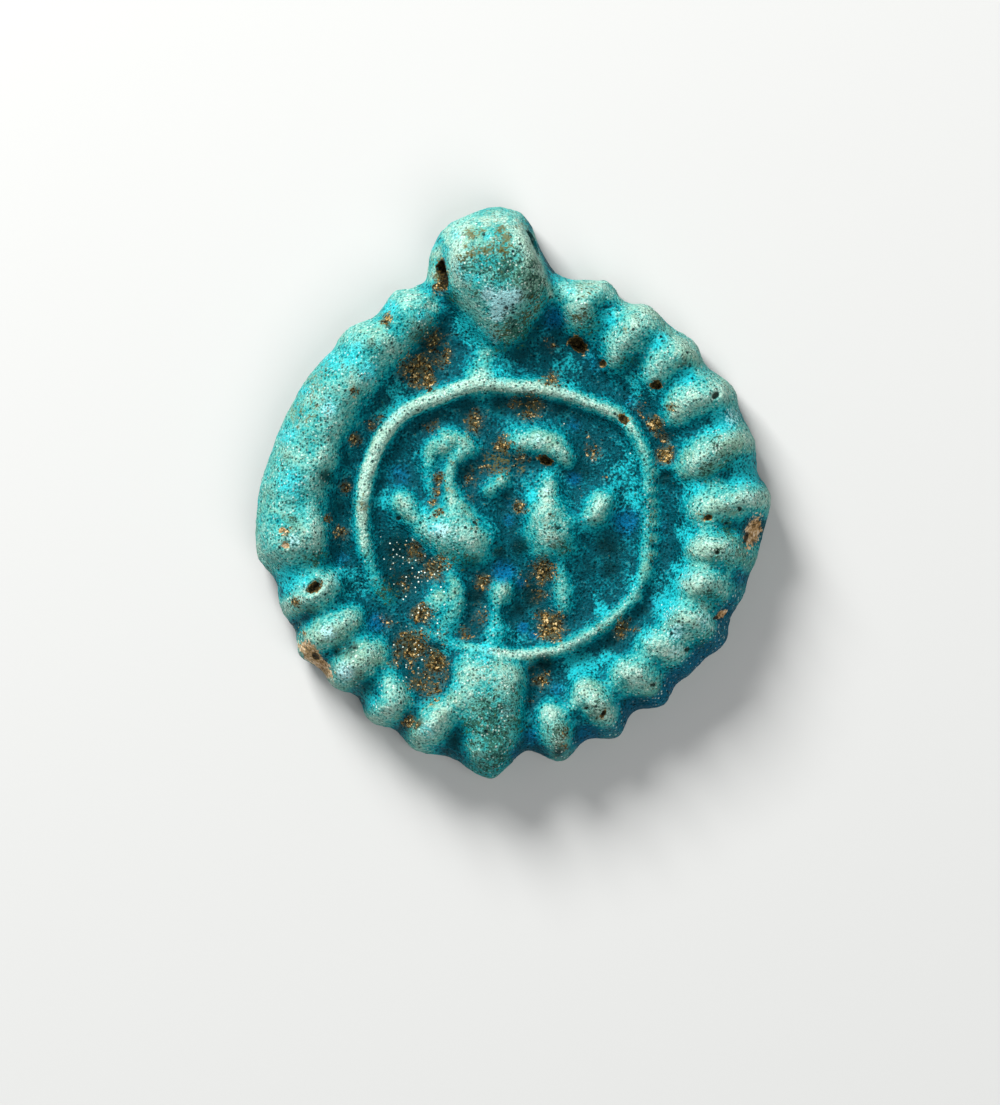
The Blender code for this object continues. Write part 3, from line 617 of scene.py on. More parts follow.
# %% Bore
BORE_LEFT, BORE_RIGHT = (-4.5, 15.8, 4.3), (1.5, 17.9, 4.3)  # the middles of its mouths
BORE_DIAMETER, BORE_OVERRUN = 1.8, 0.35  # and how far past each mouth the cutter reaches
BORE_SIDES, BORE_CUTS = 40, 30
WOBBLE, WOBBLE_SIZE, WOBBLE_SEED = 0.05, 0.6, 17
left, right = (np.array(point) * MM + shift for point in (BORE_LEFT, BORE_RIGHT))
bore_length = np.linalg.norm(right - left) + 2.0 * BORE_OVERRUN * MM
turn = math.atan2(right[1] - left[1], right[0] - left[0])
cutter = bmesh.new()
bmesh.ops.create_cone(cutter, cap_ends=True, segments=BORE_SIDES, depth=bore_length,
                      radius1=BORE_DIAMETER / 2.0 * MM, radius2=BORE_DIAMETER / 2.0 * MM)
lengthwise = [edge for edge in cutter.edges if abs(edge.verts[0].co.z - edge.verts[1].co.z) > MM]
bmesh.ops.subdivide_edges(cutter, edges=lengthwise, cuts=BORE_CUTS)
bmesh.ops.rotate(cutter, verts=cutter.verts, matrix=Matrix.Rotation(math.pi / 2.0, 3, "Y"))
bmesh.ops.rotate(cutter, verts=cutter.verts, matrix=Matrix.Rotation(turn, 3, "Z"))
bmesh.ops.translate(cutter, verts=cutter.verts, vec=(left + right) / 2.0)
cutter.normal_update()
print("cutter:", len(cutter.verts), "vertices")

# %% Ragged mouths, and the cut
points = places(cutter.verts)
normals = np.array([vert.normal[:] for vert in cutter.verts])
place(cutter.verts, *(points + WOBBLE * noise(points, WOBBLE_SIZE, WOBBLE_SEED)[:, None] * normals).T)
cutter_mesh = bpy.data.meshes.new("bore_cutter")
cutter.to_mesh(cutter_mesh)
cutter.free()
bore = bpy.data.objects.new("bore_cutter", cutter_mesh)
bpy.context.scene.collection.objects.link(bore)
cut = pendant.modifiers.new("bore", "BOOLEAN")
cut.operation, cut.solver, cut.object = "DIFFERENCE", "EXACT", bore
bpy.context.view_layer.update()
bored = bpy.data.meshes.new_from_object(pendant.evaluated_get(bpy.context.evaluated_depsgraph_get()))
pendant.modifiers.clear()
pendant.data = bored
bored.name = "faience_pendant"
bpy.data.objects.remove(bore)
print("bored:", len(bored.vertices), "vertices,", len(bored.polygons), "faces")

# %% [markdown]
# ## Flaps at the mouths
# Where the cut passes close to a corner, the Boolean leaves faces with many corners on both sides of one
# edge. Split into triangles, some of these pairs fold flat onto each other. Such a pair encloses nothing,
# so both are deleted, and every edge then joins two faces.

# %% Flaps
trimmed = bmesh.new()
trimmed.from_mesh(bored)
bmesh.ops.triangulate(trimmed, faces=trimmed.faces, quad_method="FIXED", ngon_method="EAR_CLIP")
twins = {}
for face in trimmed.faces:
    twins.setdefault(frozenset(vert.index for vert in face.verts), []).append(face)
flaps = [face for group in twins.values() if len(group) > 1 for face in group]
bmesh.ops.delete(trimmed, geom=flaps, context="FACES")
print("flaps deleted:", len(flaps), "edges without two faces:",
      sum(len(edge.link_faces) != 2 for edge in trimmed.edges))
trimmed.to_mesh(bored)
trimmed.free()
bored.shade_smooth()
print("trimmed:", len(bored.vertices), "vertices,", len(bored.polygons), "triangles")

# %% [markdown]
# ## Marks on the skin
# The colours need to know more than the shape: where soil still clings, where the glaze ran deep blue,
# where it is rubbed pale, and where light and shade are painted in: painted shade in hollows, under the
# bodies and flutes and on the edge's lower right, painted light on flanks that face the lamps, and a
# painted highlight on the lug's top slope. Each of these becomes a named value on every vertex, an
# attribute, which the shader reads. Painting them on an image would tie them to the image's fineness.
# Each patch is one soft blob of x, y, radius and strength, in millimetres around the disc's centre, and
# the shader breaks its border up with noise.

# %% Soil in the hollows
SOIL = (
    (-6.2, 9.4, 1.32, 0.85), (-5.6, 8.8, 0.72, 0.9), (-5, 10, 0.96, 0.55), (-4.3, 10.5, 0.6, 0.6),
    (-6.8, 10.2, 0.6, 0.5), (-5.2, 11.6, 1.2, 0.42), (-2.5, 5.9, 0.9, 0.8), (-5.3, 5.6, 0.6, 0.5),
    (-0.6, 4.5, 0.72, 0.85), (-1.1, 3.1, 1.08, 0.5), (0.6, 3.6, 0.84, 0.5), (-2.6, 2, 0.6, 0.55),
    (-2.7, 0.8, 0.6, 0.5), (1.5, 7, 0.96, 0.6), (0.2, 7, 0.6, 0.55), (2.8, 6.8, 0.48, 0.4),
    (2.7, 8.8, 0.72, 0.6), (0.6, 0.3, 0.6, 0.65), (2.1, -4, 0.96, 0.8), (1.3, -4.3, 0.72, 0.5),
    (2.6, -7.6, 0.96, 1.1), (2.9, -8.3, 0.6, 0.8), (2, -5.6, 0.72, 0.4), (-1.9, -4.7, 0.6, 0.8),
    (-2.1, -7.2, 0.84, 0.45), (-3, -8.2, 0.72, 0.55), (-6.4, -2.5, 0.6, 0.8), (-5, -3.9, 1.08, 0.7),
    (-6, -6.7, 0.84, 0.85), (-7.2, -4.5, 1.4, 0.28), (-6.6, -9, 1.56, 0.6), (-5, -10.1, 0.84, 1),
    (-6.3, -11.4, 0.72, 0.8), (-5.6, -11.6, 1.44, 0.5), (-7.4, -8.8, 0.84, 0.6), (-5.3, -8.9, 1.2, 0.45),
    (9.65, 5.8, 0.54, 0.9), (10.2, 5, 0.6, 0.6), (10.3, 3.75, 0.72, 0.95), (8.8, 6.8, 0.96, 0.38),
    (7.5, -7.8, 0.84, 0.6), (8.3, -7.8, 0.48, 0.5), (1.9, -11.2, 0.84, 0.6), (1.5, -12.6, 0.48, 0.45),
    (2.6, 11, 0.6, 0.45), (-10.4, 4.8, 0.45, 0.8), (-11, 1.7, 0.5, 0.75), (-12.3, -0.5, 0.36, 0.7),
    (-11.3, -1.5, 0.6, 0.55), (-10.4, 8, 0.42, 0.7), (-9.3, 5.7, 0.48, 0.6), (-8.8, 6.2, 0.36, 0.5),
    (-8.3, 12.8, 0.42, 0.9), (10.6, 6.8, 0.36, 0.6), (-4.85, 2.1, 0.45, 0.75), (-5, 1.3, 0.45, 0.6),
    (-5.2, 0.6, 0.4, 0.75), (-4.7, 15.1, 0.54, 0.9), (-6.8, -14, 0.6, 0.7), (-14.4, -6.1, 0.42, 0.8),
    (-14.2, -8, 0.6, 0.4), (3.5, -15.6, 0.42, 0.6), (-15, -1.3, 0.36, 0.6), (-15, -2.2, 0.3, 0.6),
    (5.4, 4.3, 0.96, 0.36), (6.2, 2.2, 0.5, 0.3), (-2.4, -0.9, 0.36, 0.5), (3.7, -14.9, 0.48, 0.4),
    (-8.2, -7.2, 0.84, 0.36), (-4.7, 0, 0.35, 0.65), (-4.95, -0.1, 0.3, 0.5), (-6, -3, 0.5, 0.6),
    (-4.6, -4.4, 0.5, 0.7), (-5.4, -3.6, 0.6, 0.6), (-7.6, -9.6, 0.8, 0.5), (-4.4, -11, 0.7, 0.5),
)
print("soil:", len(SOIL), "patches")

# %% Tan stains
STAIN = (
    (-0.3, 18.1, 0.45, 1), (-0.7, 18.7, 0.45, 0.9), (-1.6, 17.3, 0.5, 0.9), (-2.6, 17.1, 0.5, 0.8),
    (-2.7, 18.4, 0.5, 0.8), (-0.6, 17.4, 0.5, 0.9), (-3.4, 16.8, 0.4, 0.6), (-2, 18.6, 0.3, 0.7),
    (-4.8, 15.8, 0.45, 1), (-4, 3.4, 0.5, 0.4), (-4.1, 1.6, 0.5, 0.4), (2.5, -0.4, 0.7, 0.4),
    (1.6, 13.8, 0.6, 0.5), (-0.6, 11.9, 0.8, 0.4), (4.5, 12.9, 0.7, 0.5), (-0.8, 3.3, 1.2, 0.6),
    (0.6, 2.9, 0.7, 0.5), (12.6, -0.4, 0.5, 0.5), (9.4, -2, 0.4, 0.5), (9.3, 0.8, 0.4, 0.4),
    (-13.2, 8.6, 1, 0.4), (-14, 6.5, 1.2, 0.4), (-9.9, 0.4, 0.6, 0.6), (-1, 17.9, 0.4, 0.7),
    (-2.1, 17.3, 0.4, 0.8), (-3, 17.6, 0.4, 0.5), (-0.1, 17.6, 0.3, 0.7), (-4.7, 16.6, 0.4, 0.8),
    (1, 12.9, 0.5, 0.5), (1.9, 14.2, 0.4, 0.5), (0.4, 18.9, 0.4, 0.35), (-13.6, 5, 0.8, 0.35),
    (-12.4, 9.4, 0.8, 0.35), (7.6, 12, 0.5, 0.35), (9.4, -0.4, 0.4, 0.5), (9.3, -3.2, 0.4, 0.4),
    (9.4, 2.2, 0.4, 0.35), (-1.6, 19.4, 0.9, 0.35), (0.8, 19.2, 0.6, 0.4), (2.5, -1.2, 0.8, 0.35),
    (9.4, 0, 0.35, 0.6), (5, 14.8, 0.8, 0.3), (-1.6, -11, 1.2, 0.3), (-13, 7, 1.2, 0.35),
    (9.3, -1.2, 0.35, 0.5), (-5.3, 16.6, 0.5, 0.35),
)
print("stain:", len(STAIN), "patches")

# %% Pools of deep blue
BLUE = (
    (-0.5, -4, 0.9, 1), (0.6, -4.8, 0.5, 0.7), (0.8, -7.7, 0.5, 0.9), (1.5, -8.2, 0.4, 0.8),
    (4.2, 2.2, 0.6, 0.8), (4.3, 5.8, 0.7, 0.6), (7.7, -0.6, 1.3, 0.75), (-7.4, 2.4, 1.1, 0.6),
    (2.9, 12.8, 1, 0.8), (10.2, -1, 0.6, 0.5), (9.6, -6.2, 0.8, 0.45), (-9, -7.4, 0.9, 0.7),
    (12.4, -10.2, 0.7, 0.8), (10.6, -11.6, 0.6, 0.8), (13.9, -8.9, 0.5, 0.7), (15.3, -4.6, 0.6, 0.6),
    (1.3, -15, 0.9, 0.6), (5, -15, 0.9, 0.8), (0.2, -16.2, 0.5, 0.8), (7, -12.9, 0.7, 0.5),
    (3, -11.8, 0.7, 0.5), (-11.2, -3.2, 0.9, 0.5), (-0.2, 0.6, 0.5, 0.5), (-0.2, -0.6, 0.6, 0.6),
    (-4.5, 8.4, 0.8, 0.4), (5.4, 9.8, 1.2, 0.4), (0.4, 9.6, 1.2, 0.4), (7.9, 7.4, 0.6, 0.5),
    (15.3, 2.5, 0.7, 0.5),
)
print("blue:", len(BLUE), "patches")

# %% Bright turquoise, partly painted light on flanks that face the lamps
CYAN_AND_LIT_FLANKS = (
    (-9.4, 9.4, 0.7, 1), (-13.7, 8, 0.35, 1), (-12, 10, 0.8, 0.7), (-8, 13.6, 0.6, 0.9),
    (-14.8, -4.5, 0.9, 1.1), (-13.9, -4.5, 0.6, 0.9), (-14.9, 2, 1, 0.95), (-14.9, 5, 0.8, 0.75),
    (-12, 6.9, 0.8, 0.6), (-10.4, 10.6, 1, 0.7), (6.4, 13, 0.7, 1), (9.8, 11.5, 0.7, 0.95),
    (11.7, 9, 0.7, 0.9), (14.1, 6, 0.9, 1), (13.2, 5.3, 0.7, 0.9), (15.7, 2.6, 1.1, 1.1),
    # the patches along the right trough's outer flank, near x 10.4 to 11.6, are painted light where it faces
    # the lamps
    (15.1, 1.9, 0.6, 0.7), (12.2, 1.6, 0.7, 0.7), (11.6, -1.5, 0.8, 0.7), (11.5, -4, 0.8, 0.8),
    (10.4, -6.4, 1, 0.9), (9, -8.2, 0.8, 0.6), (15.2, -3.9, 0.6, 0.4), (4.6, -10.2, 1.2, 0.9),
    (6.4, -9.8, 0.8, 0.7), (8, 0.8, 1, 0.7), (7.6, 2.6, 1.2, 0.6), (8.1, -4.9, 0.8, 0.7),
    (6, -6.6, 0.8, 0.6), (1.4, 1, 0.6, 0.8), (-5.2, -0.9, 0.7, 0.8), (-5.9, 0.1, 0.4, 0.9),
    (-3, 12.6, 0.8, 1), (-2.2, 11.6, 0.9, 0.9), (-1.65, 18.25, 0.28, 1.1), (-2.3, 15.4, 0.4, 1),
    (-3.3, 16.1, 0.5, 0.8), (-3.7, 18.4, 0.4, 0.6), (-6, 13, 0.5, 0.8), (-0.4, 9.4, 1.3, 0.6),
    (3.5, 9.3, 1.5, 0.5), (-7.5, 7.9, 1, 0.7), (-10.6, -4.4, 1.2, 0.6), (-9.5, -12.4, 0.7, 0.7),
    (-3.7, -11.6, 0.5, 0.8), (-1.8, -9.3, 0.9, 0.7), (4.8, -1, 0.6, 0.7), (-1, -7.9, 0.6, 0.7),
    (-5.6, -14.6, 0.6, 0.5), (3.8, 15, 0.8, 0.5), (2.9, 15.6, 0.6, 0.8), (-5.2, 17.6, 0.4, 0.7),
    (-0.6, 17.8, 0.4, 0.4), (8.9, 8.8, 0.9, 0.4), (-3.8, -7.6, 0.7, 0.6), (-4.4, -9.2, 0.8, 0.6),
    (2.6, 2.6, 0.6, 0.6), (0.4, 5.2, 0.6, 0.4), (-14.2, 0.6, 1.2, 0.5), (-8.6, 0.8, 0.7, 0.5),
    (8.5, 8, 1, 0.6), (10.6, -5.2, 0.9, 0.85), (-2.9, 15.6, 0.6, 0.7), (-4.3, 17.4, 0.3, 0.6),
    (12.9, 9.4, 0.6, 0.6), (-8.4, 6.6, 1, 0.55), (6.8, 2.5, 1, 0.5), (12.6, 9.2, 0.6, 0.5),
)
print("cyan:", len(CYAN_AND_LIT_FLANKS), "patches")

# %% Painted shade: darker glaze in hollows, below the bodies and under the flutes
PAINTED_SHADE = (
    (-7.6, -2.4, 1.3, 0.9), (-7.4, -4.6, 1.3, 0.85), (-8, -6, 0.9, 0.55), (-6.3, -5.6, 0.9, 0.45),
    (0.6, -2.3, 0.7, 1.1), (0.2, -1.2, 0.5, 0.6), (1.5, -5.8, 0.9, 1.1), (0.6, -6.6, 0.6, 0.9),
    (2, -6.6, 0.6, 0.8), (-2.4, -5.6, 0.9, 0.9), (-2.4, -7.6, 0.7, 0.6), (-2.6, -3.5, 0.8, 0.6),
    (6.4, -2.4, 1.1, 0.85), (6.6, -3.8, 0.9, 0.8), (5.2, -3.6, 1, 0.6), (4.9, 2.8, 0.7, 0.6),
    (5.2, 4.3, 0.7, 0.5), (1, 7.1, 1.2, 0.85), (-0.8, 7.2, 1, 0.75), (3.4, 6.9, 0.9, 0.6),
    (-2.8, 7, 1, 0.6), (-5, 6.4, 0.8, 0.5), (-0.3, 1, 0.6, 0.6), (-2.9, 2.6, 0.7, 0.6), (-1.5, 3.2, 1, 0.5),
    (-5.6, 11.4, 1.2, 0.95), (-4.8, 12.2, 0.6, 0.6), (-7.2, 9.6, 1, 0.4), (2.2, -10.1, 0.8, 1.1),
    (1.4, -10.6, 0.5, 0.9), (4.6, -9.3, 1.2, 0.6), (6.8, -8.7, 0.9, 0.7), (-6.5, -11, 1.3, 0.65),
    (-6.8, -9, 1.2, 0.65), (-4.9, -10, 0.7, 0.6), (10.3, 2.1, 0.6, 0.8), (9.9, 5.2, 0.6, 0.7),
    (-12.3, 2.3, 0.6, 1), (-11.5, 0.3, 0.9, 0.55), (-11, 3.4, 0.6, 0.6), (-3.7, -15.2, 0.8, 0.8),
    (-6.6, -13.8, 0.9, 0.9), (0.5, 10.4, 1.1, 0.6), (8.4, 9.9, 0.7, 0.6), (11.4, 9.8, 0.5, 0.6),
    (-10.8, -9.1, 0.8, 0.8), (-9.9, -11.5, 1, 0.7), (-13.5, -6.7, 0.8, 0.7), (13.5, -3.4, 0.5, 0.6),
    (3.2, -16, 0.5, 1), (5.4, -13.6, 0.8, 0.45), (8.6, -12.6, 0.9, 0.5), (-3.9, 14.2, 0.6, 0.7),
    (3.3, 12.3, 0.6, 0.5), (-8.2, 12.3, 0.3, 0.8), (10, -0.6, 0.5, 0.5), (10, -3, 0.5, 0.5),
    (9, -6.6, 0.6, 0.6), (-11.5, -9.3, 0.6, 0.9), (-6.9, -4.4, 1, 0.9), (1.4, -5.4, 0.9, 0.9),
    (0.6, 6.8, 1, 0.6), (-6.6, -4.6, 1.6, 0.6), (-8, -3.4, 1, 0.6), (-0.8, -2.7, 0.6, 0.8),
    (4.6, -14.6, 0.8, 0.3), (-5.4, 11.9, 0.8, 0.8),
)
print("shade:", len(PAINTED_SHADE), "patches")

# %% Rubbed pale, and a painted highlight along the lug's top slope
PALE_AND_HIGHLIGHT = (
    (-5.2, 15.8, 0.8, 0.9), (-5, 17.2, 0.8, 0.9), (-4.2, 18.6, 0.8, 0.9), (-14.5, 4, 2.6, 0.75),
    (-13, 7.5, 2.2, 0.8), (-10.3, 11.3, 1.6, 0.75), (-15, 0.5, 2, 0.75), (-14.8, -2, 1.5, 0.75),
    (-2, 8.9, 1, 1), (-1.8, 10.4, 0.9, 0.7), (13.5, 1.3, 1.1, 0.7), (-7, 14, 1.2, 0.9),
    (-5.4, 13.7, 0.8, 0.8), (9, 13.4, 1.6, 0.95), (5.6, 15, 1, 0.7), (3.6, 14.8, 1, 0.8),
    (1.7, 18.4, 0.5, 0.9), (12, 11.2, 1, 0.8), (14, 8.4, 0.8, 0.8), (15.6, 5, 0.8, 0.8),
    (11.6, -8.2, 1.2, 0.75), (10.2, -9, 1.2, 0.85), (8.6, -11, 1, 0.8), (12.9, -6.4, 0.9, 0.75),
    (12.9, -3.8, 0.9, 0.7), (-3, -10.4, 0.7, 0.9), (-1.4, -10.8, 1.2, 0.7), (-2.8, -12.2, 0.8, 0.95),
    (-4.4, -13.3, 0.8, 0.95), (-12.8, -8.3, 0.8, 1), (-10.6, -10.1, 1.2, 0.9), (0.5, 18.6, 0.4, 1),
    (1.1, 17.7, 0.35, 1), (1.6, 16.8, 0.35, 1), (2, 15.9, 0.35, 1), (2.4, 15, 0.4, 1),
    (-3.5, 17.3, 0.5, 0.8), (12.2, 3.3, 0.8, 1), (-12.3, 3.6, 0.5, 1), (-0.7, 2, 0.5, 0.9),
    (2.5, 0.6, 0.7, 0.95), (2.6, 1.8, 0.5, 0.9), (-0.6, -5.2, 0.5, 0.9), (-12.3, -5.2, 0.8, 0.95),
    (8.2, 12.4, 0.9, 1), (11.9, 7.8, 0.8, 1), (-4.9, -5.9, 0.9, 0.75), (6.2, -7.5, 0.5, 0.3),
    (8.3, -5.6, 0.4, 0.9), (-7.2, 0.5, 0.55, 0.95), (-6.5, -0.4, 0.5, 0.85), (-4.6, -1.3, 0.9, 0.98),
    (-3.2, -1.8, 0.9, 0.9), (-2.6, -2.3, 0.7, 0.8), (-4.1, -2.5, 0.7, 0.7), (-3.9, 0.6, 0.5, 0.95),
    (-4.1, 1.8, 0.4, 0.9), (-3.5, 3.7, 0.5, 0.9), (-4.6, 4.3, 0.7, 0.85), (-3.2, 4.5, 0.5, 0.85),
    (0.8, 4.6, 0.6, 0.9), (1.9, 4.5, 0.6, 0.98), (3, 4.2, 0.6, 0.9), (3.6, 3.7, 0.4, 0.8),
    (5.9, 0.4, 0.6, 1), (5.3, -0.2, 0.4, 0.85), (2.4, -0.4, 0.9, 0.95), (2.7, -1.5, 0.9, 0.92),
    (2.3, 1.3, 0.7, 1), (14.9, 6.2, 0.7, 0.75), (12.6, 9.2, 0.7, 0.7), (-12, -8, 0.9, 1),
    # the patches near y 19 along the lug's top are a painted highlight on its slope towards the lamps
    (-11.2, -10.8, 0.9, 1), (-3.6, 18.7, 0.6, 0.85), (-2.4, 19.3, 0.7, 0.9), (-1, 19.5, 0.8, 0.95),
    (0.1, 19.2, 0.6, 0.95), (-1.4, 18.2, 0.8, 0.75), (-3.8, 17.2, 0.5, 0.8), (-4.2, 17.9, 0.4, 0.9),
    (0.6, 18.9, 0.5, 1), (2.6, 14.5, 0.4, 0.95), (0.4, 19.4, 0.4, 1), (-1.7, 19.3, 0.7, 1.1),
    (-2.9, 18.9, 0.6, 1), (-0.5, 19.4, 0.6, 1.1), (9.35, 0.6, 0.5, 0.75), (9.4, -0.8, 0.5, 0.7),
    (12.4, 6.9, 0.6, 0.6), (7, 13.1, 0.6, 0.7), (9.4, 2.6, 0.45, 0.7), (9.4, 1.4, 0.45, 0.75),
    (9.4, -0.1, 0.45, 0.75), (9.4, -1.8, 0.45, 0.75), (9.3, -2.8, 0.45, 0.75), (9.1, -3.8, 0.4, 0.7),
    (-0.7, 13.8, 0.7, 0.6),
)
print("pale:", len(PALE_AND_HIGHLIGHT), "patches")

# %% Dark olive green, partly painted shade on the lower sides of the lug and the knob and on shaded flanks
DARK_OLIVE_AND_SHADE = (
    (-0.2, 16.2, 1.3, 0.95), (0.9, 15.6, 1.1, 0.85), (1.5, 14.3, 0.8, 0.9), (-1.3, 16.8, 0.7, 0.7),
    (0.3, 12.2, 1.2, 0.95), (-0.6, 11.4, 0.8, 0.7), (-4, 14.4, 0.5, 0.9), (-2.6, 14.9, 0.7, 0.5),
    (-0.7, -13.4, 1.3, 0.9), (-1.3, -15, 1.5, 1), (-2.6, -14.3, 0.8, 0.9), (0.1, -12, 0.7, 0.7),
    (-1.6, -16.9, 1.2, 0.7), (-14.8, -0.9, 0.8, 0.5), (12.7, 6.5, 0.8, 0.15), (14.3, 3.3, 0.8, 0.6),
    (13.3, -5.6, 0.8, 0.8), (12.8, -8.7, 0.8, 0.5), (5, 12.7, 0.9, 0.8), (7.6, 10, 0.6, 0.8),
    (-13, -3.1, 0.8, 0.8), (3.4, -2.4, 0.6, 0.7), (2.9, -14.7, 0.8, 0.8), (5.9, -13.2, 0.8, 0.35),
    (13.2, 2.6, 0.8, 0.6), (14.4, -1.2, 0.7, 0.8), (14.9, -2.9, 0.8, 0.6), (-3.4, -3.1, 0.9, 0.6),
    (-9, 11, 0.6, 0.4), (-15.2, 3, 0.8, 0.4), (9.4, -11.6, 0.7, 0.4), (-8.3, -5.4, 1, 0.6),
    (-9.6, -3.2, 0.6, 0.6), (-6.4, 12, 0.7, 0.6), (-8.4, 7, 1, 0.3), (-0.6, 15.6, 0.8, 0.8),
    (0.6, 17, 0.7, 0.6), (0.9, 12.9, 0.7, 0.8), (-2.4, 16.7, 0.5, 0.5), (2, 14.9, 0.5, 0.7),
    (-2.3, 14.6, 0.6, 0.5), (-1.9, 16.2, 0.9, 0.7), (-0.4, 17.2, 0.7, 0.7), (1.4, 16.2, 0.6, 0.8),
    (-1.2, -13.9, 1.2, 0.8), (0.2, -14.2, 0.8, 0.8), (0.4, 16.7, 0.9, 0.8), (-0.9, 16.4, 0.9, 0.8),
    (1.8, 15.4, 0.6, 0.85), (1.2, 13.6, 0.7, 0.7), (-0.2, 11.9, 0.9, 0.7), (14, -2.7, 0.7, 0.4),
    (13.7, 4.4, 0.9, 0.5), (14.7, 0.6, 0.9, 0.35), (-13, 7, 1.4, 0.25), (5, 14.7, 0.8, 0.35),
    (-2.6, 16.6, 0.7, 0.55), (-0.2, -13, 0.9, 0.6), (6, -7.6, 0.6, 0.6), (-2, -12.8, 0.8, 0.6),
    (-0.7, -16.2, 1.1, 0.9), (-2.9, 16.1, 0.8, 0.9), (1, 16.4, 0.8, 0.5), (-1.6, -13, 0.9, 0.75),
)
print("moss:", len(DARK_OLIVE_AND_SHADE), "patches")

# %% Bare quartz grains, and greyed glaze
QUARTZ = (
    (-6.6, -4.2, 1.5, 1), (-5.3, -6.6, 1.2, 1), (-7.9, -2.2, 0.9, 0.6), (5.2, 14.9, 0.8, 0.5),
    (-6.2, -9.6, 1.6, 0.6), (13.8, -3, 0.5, 0.6), (-6.2, 14.1, 0.6, 0.8),
)
GREYED = (
    (-0.6, 13.9, 0.9, 1.1), (0.3, 14.3, 0.6, 1), (-1.5, 14.4, 0.6, 0.9), (-0.9, 13, 0.5, 1),
    (-1.6, -11, 1.6, 0.25), (-0.4, -13.4, 0.9, 0.5), (11, -8, 0.9, 0.5), (-12.2, 6.8, 0.8, 0.5),
    (12.8, -7.3, 0.9, 0.4), (-12.2, -8.1, 0.8, 0.55), (-11, -10.7, 0.8, 0.65), (-14.5, -2, 0.8, 0.5),
    (2.4, 1.4, 0.5, 0.45), (-4, -1.6, 1, 0.35), (14.7, 6.3, 0.8, 0.5), (11, -9.2, 0.8, 0.4),
    (1.8, 4.8, 0.7, 0.4), (-0.8, 13.4, 0.8, 0.9), (-4.6, -1.3, 0.7, 0.6), (-1, 11.6, 0.6, 0.5),
)
print("quartz:", len(QUARTZ), "patches, greyed:", len(GREYED))

# %% Patches, and painted shade on the brink of the edge
PATCHES = {"soil": SOIL, "stain": STAIN, "blue": BLUE, "cyan_and_lit": CYAN_AND_LIT_FLANKS, "quartz": QUARTZ, "shade": PAINTED_SHADE,
           "olive_and_shade": DARK_OLIVE_AND_SHADE, "greyed": GREYED}
# angle, and how much painted shade lies on the slope of the edge, most on the lower right, turned from the
# lamps
PAINTED_BRINK_SHADE = ((0, 0.15), (40, 0), (180, 0), (240, 0.1), (275, 0.4), (300, 0.8), (325, 1), (342, 0.5))


def patches(x, y, rows):
    """The strongest of several soft blobs at each place."""
    total = np.zeros_like(x)
    for centre_x, centre_y, radius, strength in rows:
        blob = strength * np.exp(-((x - centre_x) ** 2 + (y - centre_y) ** 2) / radius ** 2)
        total = np.maximum(total, blob)
    return total


print("patches:", sum(len(rows) for rows in PATCHES.values()) + len(PALE_AND_HIGHLIGHT))

# %% Places on the skin, and in the bore
BORE_MARGIN, BORE_FADE = 0.14, 0.1  # how far round the bore its soil reaches, and fades
BACK_TOP, FRONT_FADE = 0.9, 0.6  # the height where the front's marks start, and fade in
flat_points = np.empty(3 * len(bored.vertices))
bored.vertices.foreach_get("co", flat_points)
x, y, z = ((flat_points.reshape(-1, 3) - shift) / MM).T
angle_here = np.degrees(np.arctan2(y, x)) % 360.0
radius_here = np.hypot(x, y)
facing_up = ease((z - BACK_TOP) / FRONT_FADE)
span = np.linalg.norm(right - left)
axis = (right - left) / span
from_left = np.stack((x, y, z), axis=1) * MM + shift - left
bore_away = np.linalg.norm(from_left - np.outer(from_left @ axis, axis), axis=1) / MM
past_middle = from_left @ axis - span / 2.0
in_reach = np.abs(past_middle) - span / 2.0 < BORE_OVERRUN * MM
in_bore = ease((BORE_DIAMETER / 2.0 + BORE_MARGIN - bore_away) / BORE_FADE) * in_reach
print("places in the bore:", int((in_bore > 0.5).sum()), "of", len(x))

# %% Attributes
# how much height, and standing out from near and far surroundings, rub the glaze pale
PALE_BASE, PALE_HEIGHT, PALE_BROAD, PALE_FINE, PALE_LIMIT = 0.09, 0.26, 0.15, 0.75, 0.5
OLIVE_SHADE_OVER_PALE = 0.4  # olive green and painted shade above this share take up to as much of the pale away
BRINK_SHADE_WIDTH = 1.5
RING_PALE_RISE, RING_PALE_FROM, RING_PALE_FADE = 1.3, 0.45, 0.4
BORE_SHADE, UNDER_TOP = 0.8, 1.4
rubbed = np.minimum(PALE_HEIGHT * (read_chart(chart, x, y) - FLOOR_HEIGHT)
                    + PALE_BROAD * read_chart(crown_broad, x, y), PALE_LIMIT)
olive_and_shade_cover = np.clip(patches(x, y, DARK_OLIVE_AND_SHADE) - OLIVE_SHADE_OVER_PALE, 0.0, OLIVE_SHADE_OVER_PALE)
marks = {name: patches(x, y, rows) for name, rows in PATCHES.items()}
# the crown is the rubbed wear, raised by the pale patches, some of which are a painted highlight
marks["crown"] = np.maximum(PALE_BASE + rubbed + PALE_FINE * read_chart(crown_fine, x, y),
                            patches(x, y, PALE_AND_HIGHLIGHT) * (1.0 - olive_and_shade_cover))
# painted shade on the edge's slope, by angle
marks["painted_brink_shade"] = (ease(radius_here - outline(angle_here) + BRINK_SHADE_WIDTH)
                  * around(angle_here, *np.array(PAINTED_BRINK_SHADE).T))
marks["ring"] = ease((raised_ring(angle_here, radius_here) / RING_PALE_RISE - RING_PALE_FROM)
                     / RING_PALE_FADE)
for filling in ("soil", "dark", "bare"):
    marks["pit_" + filling] = sum(pit_shape(x, y, pit) for pit in PITS if pit[6] == filling)
marks["pit_soil"] = np.maximum(marks["pit_soil"], in_bore * (past_middle < 0.0))
